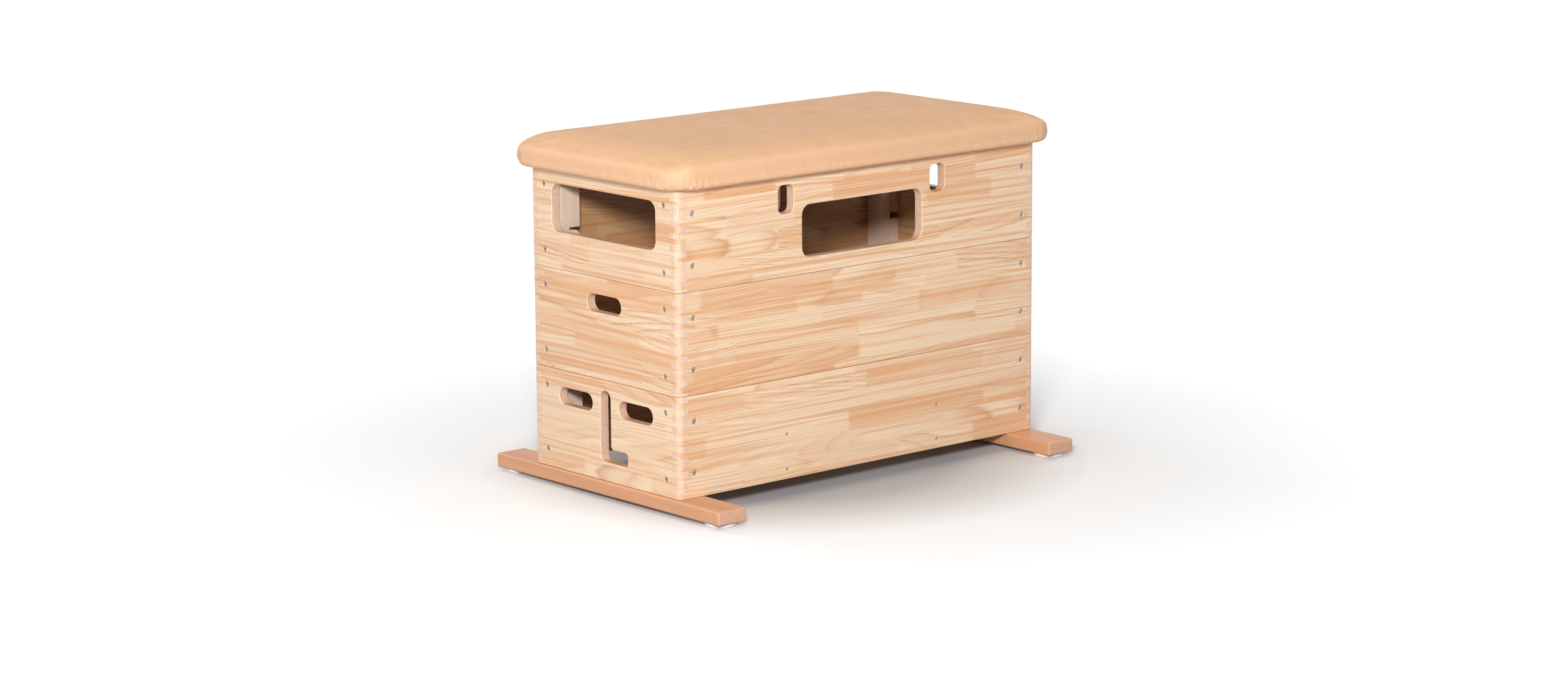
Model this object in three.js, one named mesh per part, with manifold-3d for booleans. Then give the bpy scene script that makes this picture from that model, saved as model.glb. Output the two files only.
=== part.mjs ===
// Small three-part vaulting box with a leather-covered top.
// Millimetres, +Z up. X runs along the long sides and Y across the box.
// The origin lies on the floor, midway between the long sides and between the ends.

import * as THREE from 'three';
import { mergeVertices } from 'three/addons/utils/BufferGeometryUtils.js';
import Module from 'manifold-3d';

const wasm = await Module();
wasm.setup();

// Box frames
const boxLength = 945;
const boxWidth = 450;
const frameHeight = 200;
const wall = 22;
const cornerRadius = 12;
const fingerHeight = 12;
const glueLine = 0.1;
const seamGap = 0.3;

// Corner posts
const postWidth = 48;
const postDepth = 44;
const tongueWidth = 24;
const tongueRise = 70;
const tongueRounding = 14;
const tongueSideGap = 2;
const tongueTopGap = 5;
const tongueWallGap = 1;
const postFootRise = 9;
const postHeadDrop = 4;

// Windows, hook slots and grips
const endWindowHeight = 95;
const endWindowTop = 31;
const sideWindowWidth = 316;
const sideWindowHeight = 103;
const sideWindowFoot = 32;
const windowRadius = 20;
const hookSlotSpacing = 400;
const hookSlotWidth = 39;
const hookSlotHeight = 55;
const hookSlotTop = 21;
const hookSlotRadius = 12;
const gripWidth = 104;
const gripHeight = 35;
const gripDrop = 51;
const lowGripSpacing = 185;
const catchSlotWidth = 31;
const catchSlotFoot = 38;
const catchSlotDrop = 21;
const catchFootLength = 82;
const catchFootHeight = 27;
const catchCornerRadius = 12;
const catchInnerRadius = 8;
const catchTipRadius = 6;
const pinHoleDiameter = 7;
const pinHoleLow = 19;
const pinHoleRise = 70;

// Frame screws
const screwHeadDiameter = 11.5;
const screwHeadSink = 0.6;
const screwHeadCone = 3.2;
const screwDiameter = 5.6;
const screwLength = 40;
const screwTipLength = 6;
const screwGap = 0.3;
const screwTipGap = 0.8;
const socketWidth = 4;
const socketDepth = 2.4;
const endScrewInset = 41.5;
const endScrewMargin = 35;
const sideScrewInset = 37.5;
const sideScrewMargin = 50;

// Runners and their screws
const runnerLength = 690;
const runnerWidth = 70;
const runnerThickness = 28;
const runnerEdge = 4;
const leftRunnerProud = 6;
const rightRunnerInset = 4;
const runnerScrewInset = 34;
const runnerScrewLength = 45;
const runnerScrewSink = 8;

// Glides under the runners
const glideDiameter = 60;
const glideThickness = 8;
const glideRounding = 3;
const glideInset = 36;
const glideScrewHead = 9;
const glideScrewDiameter = 4;
const glideScrewLength = 24;
const glideScrewSink = 3;

// Padded top
const padBoardOverhang = 12;
const padBoardThickness = 15;
const padSideBulge = 21.5;
const padHeight = 59;
const padCrown = 5;
const padCornerRadius = 50;
const padCornerFall = 8;
const padCornerReach = 170;
const padTopInset = 200;
const leatherThickness = 2;
const leatherTurnUnder = 40;
const padFitGap = 0.3;
const padScrewHead = 10;
const padScrewDiameter = 4.8;
const padScrewLength = 45;
const padScrewInsetX = 34;

// How finely round stretches are cut
const cornerSteps = 3;
const slotSteps = 4;
const screwSides = 8;
const pinHoleSides = 10;
const glideSides = 24;
const padCornerSteps = 5;
const padLongSteps = 6;
const padShortSteps = 3;

// Cutters run past what they cut by this much
const overrun = 5;

// Outward and upward shares of the side bulge and pad height, from the lower edge to the top edge
const padSideShares = [
  [0.2, 0],
  [0.62, 0.07],
  [0.9, 0.25],
  [1, 0.5],
  [0.93, 0.7],
  [0.66, 0.87],
  [0.05, 0.97],
];
// Inward shares of the top inset, and shares of the crown reached there
const padCrownShares = [
  [0.12, 0.14],
  [0.45, 0.6],
  [1, 1],
];

const baseLevel = glideThickness + runnerThickness;
const halfLength = boxLength / 2;
const halfWidth = boxWidth / 2;
const frameStep = frameHeight + seamGap;
const endWindowWidth = boxWidth - 2 * (wall + postDepth);
const gripLevel = frameHeight - gripDrop;
const catchSlotTop = frameHeight - catchSlotDrop;

// Surfaces and their colours
const pine = new THREE.MeshStandardMaterial({ color: 0xe9bd8c, roughness: 0.55, metalness: 0 });
const paleBeech = new THREE.MeshStandardMaterial({ color: 0xddb99a, roughness: 0.6, metalness: 0 });
const redBeech = new THREE.MeshStandardMaterial({ color: 0xdd9468, roughness: 0.55, metalness: 0 });
const birchPly = new THREE.MeshStandardMaterial({ color: 0xd9bd92, roughness: 0.7, metalness: 0 });
const foam = new THREE.MeshStandardMaterial({ color: 0xd8d3c4, roughness: 0.95, metalness: 0 });
const leather = new THREE.MeshStandardMaterial({ color: 0xe0b48c, roughness: 0.8, metalness: 0 });
const zinc = new THREE.MeshStandardMaterial({ color: 0x9aa1a6, roughness: 0.35, metalness: 1 });
const glideWhite = new THREE.MeshStandardMaterial({ color: 0xf2f1ee, roughness: 0.5, metalness: 0 });

// Solids for cutting and joining

function toSolid(geometry) {
  const bare = geometry.clone();
  bare.deleteAttribute('normal');
  bare.deleteAttribute('uv');
  const merged = mergeVertices(bare);
  return new wasm.Manifold(new wasm.Mesh({
    numProp: 3,
    vertProperties: new Float32Array(merged.attributes.position.array),
    triVerts: new Uint32Array(merged.index.array),
  }));
}

function toGeometry(solid) {
  const cut = solid.getMesh();
  const geometry = new THREE.BufferGeometry();
  geometry.setAttribute('position', new THREE.BufferAttribute(new Float32Array(cut.vertProperties), 3));
  geometry.setIndex(new THREE.BufferAttribute(new Uint32Array(cut.triVerts), 1));
  geometry.computeVertexNormals();
  return geometry;
}

// Outlines

function arcPoints(x, y, radius, startAngle, endAngle, steps) {
  const points = [];
  for (let i = 0; i <= steps; i += 1) {
    const angle = startAngle + (endAngle - startAngle) * i / steps;
    points.push(new THREE.Vector2(x + radius * Math.cos(angle), y + radius * Math.sin(angle)));
  }
  return points;
}

function withoutRepeats(points) {
  const least = glueLine / 10;
  return points.filter((point, i) => point.distanceTo(points[(i + 1) % points.length]) > least);
}

function roundedRectangle(x, y, width, height, radius, steps) {
  const cornerShares = [[1, 1], [-1, 1], [-1, -1], [1, -1]];
  const quarter = Math.PI / 2;
  const points = cornerShares.flatMap(([sx, sy], i) => arcPoints(
    x + sx * (width / 2 - radius),
    y + sy * (height / 2 - radius),
    radius,
    i * quarter,
    (i + 1) * quarter,
    steps,
  ));
  return withoutRepeats(points);
}

function extruded(points, holes, depth) {
  const shape = new THREE.Shape(points);
  for (const hole of holes) {
    shape.holes.push(new THREE.Path(hole));
  }
  return new THREE.ExtrudeGeometry(shape, { depth, bevelEnabled: false });
}

// A board's outline with box-joint fingers at both ends, u along the board and v up from its foot.
// The end boards hold the fingers with even numbers, counted from the top edge.
function boardOutline(halfSpan, holdsEven) {
  const levels = [];
  const count = Math.ceil(frameHeight / fingerHeight);
  for (let i = 0; i < count; i += 1) {
    const top = frameHeight - i * fingerHeight - (i > 0 ? glueLine / 2 : 0);
    const foot = Math.max(frameHeight - (i + 1) * fingerHeight + glueLine / 2, 0);
    const standsOut = (i % 2 === 0) === holdsEven;
    const reach = standsOut ? halfSpan : halfSpan - wall - glueLine;
    levels.push({ top, foot, reach, standsOut });
  }
  const side = [];
  levels.forEach((level, i) => {
    const above = levels[i - 1];
    const below = levels[i + 1];
    const top = above && !level.standsOut ? above.foot : level.top;
    const foot = below && !level.standsOut ? below.top : level.foot;
    side.push(new THREE.Vector2(level.reach, top));
    side.push(new THREE.Vector2(level.reach, foot));
  });
  const otherSide = side.map((point) => new THREE.Vector2(-point.x, point.y)).reverse();
  return withoutRepeats([...side, ...otherSide]).reverse();
}

// Everything that belongs to a frame stays inside this rounded footprint
function footprintSolid() {
  const outline = roundedRectangle(0, 0, boxLength, boxWidth, cornerRadius, cornerSteps);
  const prism = extruded(outline, [], frameHeight + 2 * overrun);
  prism.translate(0, 0, -overrun);
  return toSolid(prism);
}

const footprint = footprintSolid();

// Screws, with their heads on the plane z = 0 and their tips towards +Z

function turned(profile, sides) {
  const geometry = new THREE.LatheGeometry(profile.map(([r, z]) => new THREE.Vector2(r, z)), sides);
  geometry.rotateX(Math.PI / 2);
  return geometry;
}

function screwGeometry(headDiameter, diameter, length, sink) {
  const cone = screwHeadCone * headDiameter / screwHeadDiameter;
  const body = toSolid(turned([
    [0, sink],
    [headDiameter / 2, sink],
    [diameter / 2, sink + cone],
    [diameter / 2, sink + length - screwTipLength],
    [0, sink + length],
  ], screwSides));
  const socketScale = headDiameter / screwHeadDiameter;
  const socket = new THREE.CylinderGeometry(
    socketWidth / 2 * socketScale,
    socketWidth / 2 * socketScale,
    socketDepth * socketScale + overrun,
    6,
  );
  socket.rotateX(Math.PI / 2);
  socket.translate(0, 0, sink + socketDepth * socketScale - (socketDepth * socketScale + overrun) / 2);
  return toGeometry(body.subtract(toSolid(socket)));
}

// A countersunk hole all the way through a thickness, and beyond it into what the screw holds
function screwHole(headDiameter, diameter, length, sink) {
  const cone = screwHeadCone * headDiameter / screwHeadDiameter;
  return turned([
    [0, -overrun],
    [headDiameter / 2 + screwGap, -overrun],
    [headDiameter / 2 + screwGap, sink],
    [diameter / 2 + screwGap, sink + cone],
    [diameter / 2 + screwGap, sink + length - screwTipLength],
    [0, sink + length + screwTipGap],
  ], screwSides);
}

// Turns a geometry made along +Z so that it runs along a direction, then moves it
function aimed(geometry, direction, place) {
  const copy = geometry.clone();
  const turn = new THREE.Quaternion().setFromUnitVectors(new THREE.Vector3(0, 0, 1), direction);
  copy.applyQuaternion(turn);
  copy.translate(place.x, place.y, place.z);
  return copy;
}

const frameScrew = screwGeometry(screwHeadDiameter, screwDiameter, screwLength, screwHeadSink);
const frameScrewHole = screwHole(screwHeadDiameter, screwDiameter, screwLength, screwHeadSink);

// The four frame screws of one corner: side is -1 or 1 along X, face is -1 or 1 along Y.
// The first two go in through the end board, and the last two through the long board.
function cornerScrews(side, face) {
  const throughEnd = [frameHeight - endScrewMargin, endScrewMargin].map((level) => ({
    place: new THREE.Vector3(side * halfLength, face * (halfWidth - endScrewInset), level),
    direction: new THREE.Vector3(-side, 0, 0),
  }));
  const throughSide = [frameHeight - sideScrewMargin, sideScrewMargin].map((level) => ({
    place: new THREE.Vector3(side * (halfLength - sideScrewInset), face * halfWidth, level),
    direction: new THREE.Vector3(0, -face, 0),
  }));
  return [...throughEnd, ...throughSide];
}

const corners = [
  { label: 'front_left', side: -1, face: -1 },
  { label: 'front_right', side: 1, face: -1 },
  { label: 'back_left', side: -1, face: 1 },
  { label: 'back_right', side: 1, face: 1 },
];

function holesFor(screws) {
  return screws.map((screw) => toSolid(aimed(frameScrewHole, screw.direction, screw.place)));
}

// Cut-outs, as outlines in the plane of their board

function endWindow() {
  const middle = frameHeight - endWindowTop - endWindowHeight / 2;
  return roundedRectangle(0, middle, endWindowWidth, endWindowHeight, windowRadius, slotSteps);
}

function sideWindow() {
  const middle = sideWindowFoot + sideWindowHeight / 2;
  return roundedRectangle(0, middle, sideWindowWidth, sideWindowHeight, windowRadius, slotSteps);
}

function hookSlot(u) {
  const middle = frameHeight - hookSlotTop - hookSlotHeight / 2;
  return roundedRectangle(u, middle, hookSlotWidth, hookSlotHeight, hookSlotRadius, slotSteps);
}

function grip(u) {
  return roundedRectangle(u, gripLevel, gripWidth, gripHeight, gripHeight / 2, slotSteps);
}

function pinHole(u, level) {
  return arcPoints(u, level, pinHoleDiameter / 2, 0, 2 * Math.PI, pinHoleSides).slice(1);
}

// The catch slot is L-shaped: an upright slot with a foot towards the front
function catchSlot() {
  const far = catchSlotWidth / 2;
  const near = -catchSlotWidth / 2;
  const tip = far - catchFootLength;
  const footTop = catchSlotFoot + catchFootHeight;
  const top = catchSlotTop - far;
  const inner = catchInnerRadius;
  const end = catchTipRadius;
  const corner = catchCornerRadius;
  const quarter = Math.PI / 2;
  return withoutRepeats([
    ...arcPoints(0, top, far, 0, Math.PI, 2 * slotSteps),
    ...arcPoints(near - inner, footTop + inner, inner, 0, -quarter, slotSteps),
    ...arcPoints(tip + end, footTop - end, end, quarter, 2 * quarter, slotSteps),
    ...arcPoints(tip + end, catchSlotFoot + end, end, -2 * quarter, -quarter, slotSteps),
    ...arcPoints(far - corner, catchSlotFoot + corner, corner, -quarter, 0, slotSteps),
  ]);
}

// Boards

function longBoard(face, cutOuts) {
  const slab = extruded(boardOutline(halfLength, false), cutOuts, wall);
  slab.rotateX(Math.PI / 2);
  slab.translate(0, face < 0 ? wall - halfWidth : halfWidth, 0);
  const screws = [-1, 1].flatMap((side) => cornerScrews(side, face).slice(2));
  return finishedBoard(slab, screws);
}

function endBoard(side, cutOuts) {
  const slab = extruded(boardOutline(halfWidth, true), cutOuts, wall);
  slab.rotateX(Math.PI / 2);
  slab.rotateZ(Math.PI / 2);
  slab.translate(side < 0 ? -halfLength : halfLength - wall, 0, 0);
  const screws = [-1, 1].flatMap((face) => cornerScrews(side, face).slice(0, 2));
  return finishedBoard(slab, screws);
}

function finishedBoard(slab, screws) {
  let solid = toSolid(slab).intersect(footprint);
  for (const hole of holesFor(screws)) {
    solid = solid.subtract(hole);
  }
  return toGeometry(solid);
}

// Corner posts. The outline has u measured from the end board's inner face and v up from the
// frame's foot. A socket takes the tongue of the post below, and a tongue reaches into the one above.

function postOutline(hasSocket, hasTongue) {
  const socketTop = tongueRise + tongueTopGap;
  const socketStart = postWidth - tongueWidth - tongueSideGap;
  const tongueTop = frameHeight + tongueRise;
  const tongueStart = postWidth - tongueWidth;
  const foot = hasSocket
    ? [[0, postFootRise], [socketStart, postFootRise], [socketStart, socketTop], [postWidth, socketTop]]
    : [[0, 0], [postWidth, 0]];
  const rounding = arcPoints(
    postWidth - tongueRounding,
    tongueTop - tongueRounding,
    tongueRounding,
    0,
    Math.PI / 2,
    cornerSteps,
  );
  const head = hasTongue
    ? [
      ...rounding,
      new THREE.Vector2(tongueStart, tongueTop),
      new THREE.Vector2(tongueStart, frameHeight - postHeadDrop),
      new THREE.Vector2(0, frameHeight - postHeadDrop),
    ]
    : [new THREE.Vector2(postWidth, frameHeight), new THREE.Vector2(0, frameHeight)];
  return [...foot.map(([u, v]) => new THREE.Vector2(u, v)), ...head];
}

function postGeometry(side, face, hasSocket, hasTongue, extraHoles) {
  const outline = postOutline(hasSocket, hasTongue)
    .map((point) => new THREE.Vector2(-side * point.x, point.y));
  const block = extruded(side < 0 ? outline : outline.reverse(), [], postDepth);
  block.rotateX(Math.PI / 2);
  const innerEnd = side * (halfLength - wall - glueLine);
  const innerSide = face * (halfWidth - wall - glueLine);
  block.translate(innerEnd, face < 0 ? innerSide + postDepth : innerSide, 0);
  let solid = toSolid(block);
  if (hasTongue) {
    const relief = new THREE.BoxGeometry(postWidth + 2 * overrun, 2 * tongueWallGap, tongueRise + overrun);
    relief.translate(
      side * (halfLength - wall - postWidth / 2),
      innerSide,
      frameHeight + (tongueRise + overrun) / 2,
    );
    solid = solid.subtract(toSolid(relief));
  }
  for (const hole of [...holesFor(cornerScrews(side, face)), ...extraHoles]) {
    solid = solid.subtract(hole);
  }
  return toGeometry(solid);
}

// Runners and glides

const runnerScrew = screwGeometry(screwHeadDiameter, screwDiameter, runnerScrewLength, runnerScrewSink);
const runnerScrewHole = screwHole(screwHeadDiameter, screwDiameter, runnerScrewLength, runnerScrewSink);
const glideScrew = screwGeometry(glideScrewHead, glideScrewDiameter, glideScrewLength, glideScrewSink);
const glideScrewHole = screwHole(glideScrewHead, glideScrewDiameter, glideScrewLength, glideScrewSink);
const up = new THREE.Vector3(0, 0, 1);
const down = new THREE.Vector3(0, 0, -1);

function runnerMiddle(side) {
  const outerEdge = side < 0 ? -halfLength - leftRunnerProud : halfLength - rightRunnerInset;
  return outerEdge - side * runnerWidth / 2;
}

function runnerScrewPlace(side, face) {
  return new THREE.Vector3(
    side * (halfLength - runnerScrewInset),
    face * (halfWidth - wall - postDepth / 2),
    glideThickness,
  );
}

function glidePlace(side, face) {
  return new THREE.Vector3(runnerMiddle(side), face * (runnerLength / 2 - glideInset), 0);
}

function runnerGeometry(side) {
  const bar = new THREE.ExtrudeGeometry(
    new THREE.Shape(roundedRectangle(
      0,
      0,
      runnerWidth - 2 * runnerEdge,
      runnerLength - 2 * runnerEdge,
      runnerEdge / 2,
      1,
    )),
    {
      depth: runnerThickness - 2 * runnerEdge,
      bevelThickness: runnerEdge,
      bevelSize: runnerEdge,
      bevelSegments: 2,
    },
  );
  bar.translate(runnerMiddle(side), 0, glideThickness + runnerEdge);
  let solid = toSolid(bar);
  for (const face of [-1, 1]) {
    solid = solid.subtract(toSolid(aimed(runnerScrewHole, up, runnerScrewPlace(side, face))));
    solid = solid.subtract(toSolid(aimed(glideScrewHole, up, glidePlace(side, face))));
  }
  return toGeometry(solid);
}

function glideGeometry() {
  const radius = glideDiameter / 2;
  const rounding = arcPoints(radius - glideRounding, glideRounding, glideRounding, -Math.PI / 2, 0, 2);
  const disc = toSolid(turned([
    [0, 0],
    ...rounding.map((point) => [point.x, point.y]),
    [radius, glideThickness],
    [0, glideThickness],
  ], glideSides));
  return toGeometry(disc.subtract(toSolid(glideScrewHole)));
}

// Padded top. Rings are rounded rectangles with the same number of points each.

function padRing(outward, level, fall) {
  const halfX = halfLength + outward;
  const halfY = halfWidth + outward;
  const widest = padBoardOverhang + padSideBulge;
  const radius = Math.max(padCornerRadius + outward - widest, padCornerRadius / 4);
  const cornerShares = [[1, 1], [-1, 1], [-1, -1], [1, -1]];
  const quarter = Math.PI / 2;
  const points = [];
  cornerShares.forEach(([sx, sy], i) => {
    const x = sx * (halfX - radius);
    const y = sy * (halfY - radius);
    const arc = arcPoints(x, y, radius, i * quarter, (i + 1) * quarter, padCornerSteps);
    const steps = i % 2 === 0 ? padLongSteps : padShortSteps;
    const [nextX, nextY] = cornerShares[(i + 1) % cornerShares.length];
    const start = arc[arc.length - 1];
    const next = arcPoints(nextX * (halfX - radius), nextY * (halfY - radius), radius,
      (i + 1) * quarter, (i + 1) * quarter, 1)[0];
    points.push(...arc);
    for (let k = 1; k < steps; k += 1) {
      points.push(start.clone().lerp(next, k / steps));
    }
  });
  return points.map((point) => {
    const toCorner = Math.hypot(
      halfLength + widest - Math.abs(point.x),
      halfWidth + widest - Math.abs(point.y),
    );
    const near = Math.max(1 - toCorner / padCornerReach, 0);
    return new THREE.Vector3(point.x, point.y, level - fall * near * near);
  });
}

// Joins rings into a closed skin, with a flat cap on the first and on the last one. Each four-sided
// patch is halved along the same line whether the rings rise or fall, so nested skins keep apart.
function loft(rings) {
  const count = rings[0].length;
  const positions = rings.flatMap((ring) => ring.flatMap((point) => [point.x, point.y, point.z]));
  const triangles = [];
  for (let i = 0; i < rings.length - 1; i += 1) {
    const here = i * count;
    const there = here + count;
    const rises = rings[i + 1][0].z >= rings[i][0].z;
    for (let k = 0; k < count; k += 1) {
      const next = (k + 1) % count;
      const patch = rises
        ? [here + k, here + next, there + next, here + k, there + next, there + k]
        : [here + k, here + next, there + k, here + next, there + next, there + k];
      triangles.push(...patch);
    }
  }
  const last = (rings.length - 1) * count;
  for (let k = 1; k < count - 1; k += 1) {
    triangles.push(0, k + 1, k);
    triangles.push(last, last + k, last + k + 1);
  }
  const geometry = new THREE.BufferGeometry();
  geometry.setAttribute('position', new THREE.BufferAttribute(new Float32Array(positions), 3));
  geometry.setIndex(triangles);
  geometry.computeVertexNormals();
  return geometry;
}

const padFoot = baseLevel + 2 * frameStep + frameHeight + seamGap;

// Rings of the padded form from a starting level upwards, drawn in by an inset on every side
function padRings(inset, startLevel) {
  const sides = padSideShares
    .map(([outShare, upShare]) => ({
      outward: padBoardOverhang + padSideBulge * outShare - inset,
      level: padFoot + padHeight * upShare - inset * (upShare > 0.5 ? 1 : 0),
      fall: padCornerFall * upShare * upShare,
    }))
    .filter((ring) => ring.level > startLevel);
  const edge = sides[sides.length - 1];
  const crown = padCrownShares.map(([inShare, upShare]) => ({
    outward: edge.outward - padTopInset * inShare,
    level: padFoot + padHeight + padCrown * upShare - inset,
    fall: padCornerFall,
  }));
  return [...sides, ...crown].map((ring) => padRing(ring.outward, ring.level, ring.fall));
}

function coverGeometry() {
  const boardOutward = padBoardOverhang + padFitGap;
  const turnUnder = padBoardOverhang - leatherTurnUnder;
  const boardTop = padFoot + leatherThickness + padBoardThickness + 2 * padFitGap;
  const outside = [
    padRing(turnUnder, padFoot, 0),
    ...padRings(0, padFoot - overrun),
  ];
  const inside = [
    padRing(turnUnder, padFoot + leatherThickness, 0),
    padRing(boardOutward, padFoot + leatherThickness, 0),
    padRing(boardOutward, boardTop, 0),
    ...padRings(leatherThickness, boardTop),
  ];
  return loft([...inside.reverse(), ...outside]);
}

function foamGeometry() {
  const start = padFoot + leatherThickness + padBoardThickness + 2 * padFitGap;
  const rings = padRings(leatherThickness + padFitGap, start + padFitGap);
  const bottom = padRing(padBoardOverhang - padFitGap, start, 0);
  return loft([bottom, ...rings]);
}

const padScrewRise = leatherThickness + padFitGap + padBoardThickness;
const padScrew = screwGeometry(padScrewHead, padScrewDiameter, padScrewLength, screwHeadSink);
const padScrewHole = screwHole(padScrewHead, padScrewDiameter, padScrewLength, screwHeadSink);

function padScrewPlace(side, face) {
  return new THREE.Vector3(
    side * (halfLength - padScrewInsetX),
    face * (halfWidth - wall - postDepth / 2),
    padFoot + padScrewRise,
  );
}

function padBoardGeometry() {
  const length = boxLength + 2 * padBoardOverhang;
  const width = boxWidth + 2 * padBoardOverhang;
  const radius = padCornerRadius - padSideBulge;
  const outline = roundedRectangle(0, 0, length, width, radius, padCornerSteps);
  const sheet = extruded(outline, [], padBoardThickness);
  sheet.translate(0, 0, padFoot + leatherThickness + padFitGap);
  let solid = toSolid(sheet);
  for (const { side, face } of corners) {
    solid = solid.subtract(toSolid(aimed(padScrewHole, down, padScrewPlace(side, face))));
  }
  return toGeometry(solid);
}

// Assembly

const vaultingBox = new THREE.Group();
vaultingBox.name = 'vaulting_box';

function addPiece(group, name, geometry, material) {
  const piece = new THREE.Mesh(geometry, material.clone());
  piece.name = name;
  group.add(piece);
}

const hookSlots = [-1, 1].map((side) => hookSlot(side * hookSlotSpacing / 2));
const pinHoles = [-1, 1].flatMap((side) => [0, pinHoleRise].map(
  (rise) => pinHole(side * hookSlotSpacing / 2, pinHoleLow + rise),
));
const lowGrips = [-1, 1].map((side) => grip(side * lowGripSpacing / 2));

const frames = [
  { name: 'bottom', longCuts: pinHoles, leftCuts: [...lowGrips, catchSlot()], rightCuts: lowGrips },
  { name: 'middle', longCuts: [], leftCuts: [grip(0)], rightCuts: [grip(0)] },
  {
    name: 'top',
    longCuts: [sideWindow(), ...hookSlots],
    leftCuts: [endWindow()],
    rightCuts: [endWindow()],
  },
];

frames.forEach((frame, i) => {
  const section = new THREE.Group();
  section.name = `${frame.name}_section`;
  section.position.z = baseLevel + i * frameStep;
  addPiece(section, `${frame.name}_front_board`, longBoard(-1, frame.longCuts), pine);
  addPiece(section, `${frame.name}_back_board`, longBoard(1, frame.longCuts), pine);
  addPiece(section, `${frame.name}_left_end_board`, endBoard(-1, frame.leftCuts), pine);
  addPiece(section, `${frame.name}_right_end_board`, endBoard(1, frame.rightCuts), pine);
  const isLowest = i === 0;
  const isHighest = i === frames.length - 1;
  for (const { label, side, face } of corners) {
    const extraHoles = [];
    if (isLowest) {
      const place = runnerScrewPlace(side, face).sub(section.position);
      extraHoles.push(toSolid(aimed(runnerScrewHole, up, place)));
    }
    if (isHighest) {
      const place = padScrewPlace(side, face).sub(section.position);
      extraHoles.push(toSolid(aimed(padScrewHole, down, place)));
    }
    const post = postGeometry(side, face, !isLowest, !isHighest, extraHoles);
    addPiece(section, `${frame.name}_post_${label}`, post, paleBeech);
    const screw = cornerScrews(side, face)[0];
    const placed = aimed(frameScrew, screw.direction, screw.place);
    addPiece(section, `${frame.name}_screw_${label}`, placed, zinc);
  }
  vaultingBox.add(section);
});

for (const [label, side] of [['left', -1], ['right', 1]]) {
  addPiece(vaultingBox, `${label}_runner`, runnerGeometry(side), redBeech);
}

for (const { label, side, face } of corners) {
  const glide = aimed(glideGeometry(), up, glidePlace(side, face));
  addPiece(vaultingBox, `glide_${label}`, glide, glideWhite);
  addPiece(vaultingBox, `glide_screw_${label}`, aimed(glideScrew, up, glidePlace(side, face)), zinc);
  const placed = aimed(runnerScrew, up, runnerScrewPlace(side, face));
  addPiece(vaultingBox, `runner_screw_${label}`, placed, zinc);
  addPiece(vaultingBox, `pad_screw_${label}`, aimed(padScrew, down, padScrewPlace(side, face)), zinc);
}

addPiece(vaultingBox, 'pad_board', padBoardGeometry(), birchPly);
addPiece(vaultingBox, 'pad_foam', foamGeometry(), foam);
addPiece(vaultingBox, 'pad_cover', coverGeometry(), leather);

export default vaultingBox;
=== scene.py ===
import math

import bmesh
import bpy
from bpy.props import FloatProperty, FloatVectorProperty, PointerProperty
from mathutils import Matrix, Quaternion, Vector, noise


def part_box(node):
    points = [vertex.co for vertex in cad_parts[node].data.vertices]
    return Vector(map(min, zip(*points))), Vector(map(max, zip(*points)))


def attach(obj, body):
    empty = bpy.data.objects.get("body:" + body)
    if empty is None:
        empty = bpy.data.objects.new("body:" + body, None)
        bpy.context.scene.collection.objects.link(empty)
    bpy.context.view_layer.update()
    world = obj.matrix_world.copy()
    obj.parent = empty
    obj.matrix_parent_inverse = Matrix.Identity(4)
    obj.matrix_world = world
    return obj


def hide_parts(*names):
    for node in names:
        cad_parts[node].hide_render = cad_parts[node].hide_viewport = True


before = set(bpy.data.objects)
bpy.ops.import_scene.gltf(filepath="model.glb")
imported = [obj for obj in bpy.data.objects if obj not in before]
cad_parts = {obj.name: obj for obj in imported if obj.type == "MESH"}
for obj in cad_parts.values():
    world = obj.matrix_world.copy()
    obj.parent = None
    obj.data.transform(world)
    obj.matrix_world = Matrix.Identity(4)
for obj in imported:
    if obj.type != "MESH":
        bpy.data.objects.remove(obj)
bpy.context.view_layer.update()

bl_info = {
    "name": "Vaulting Box",
    "version": (1, 0, 0),
    "blender": (4, 5, 0),
    "location": "View3D > Sidebar > Vaulting Box",
    "description": "Timber, fittings, padded top and stage of a small vaulting box",
    "category": "Object",
}

SECTIONS = ("bottom", "middle", "top")
FACES = ("front", "back", "left_end", "right_end")
CORNERS = {
    "front_left": (-1, -1),
    "front_right": (1, -1),
    "back_left": (-1, 1),
    "back_right": (1, 1),
}


def length(name, description, default):
    return FloatProperty(name=name, description=description, default=default, min=0, unit="LENGTH")


def colour(name, description, default):
    return FloatVectorProperty(
        name=name, description=description, default=default, size=3, min=0, max=1, subtype="COLOR"
    )


def number(name, description, default):
    return FloatProperty(name=name, description=description, default=default, min=0)


# Sizes and colours that can be set


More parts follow.
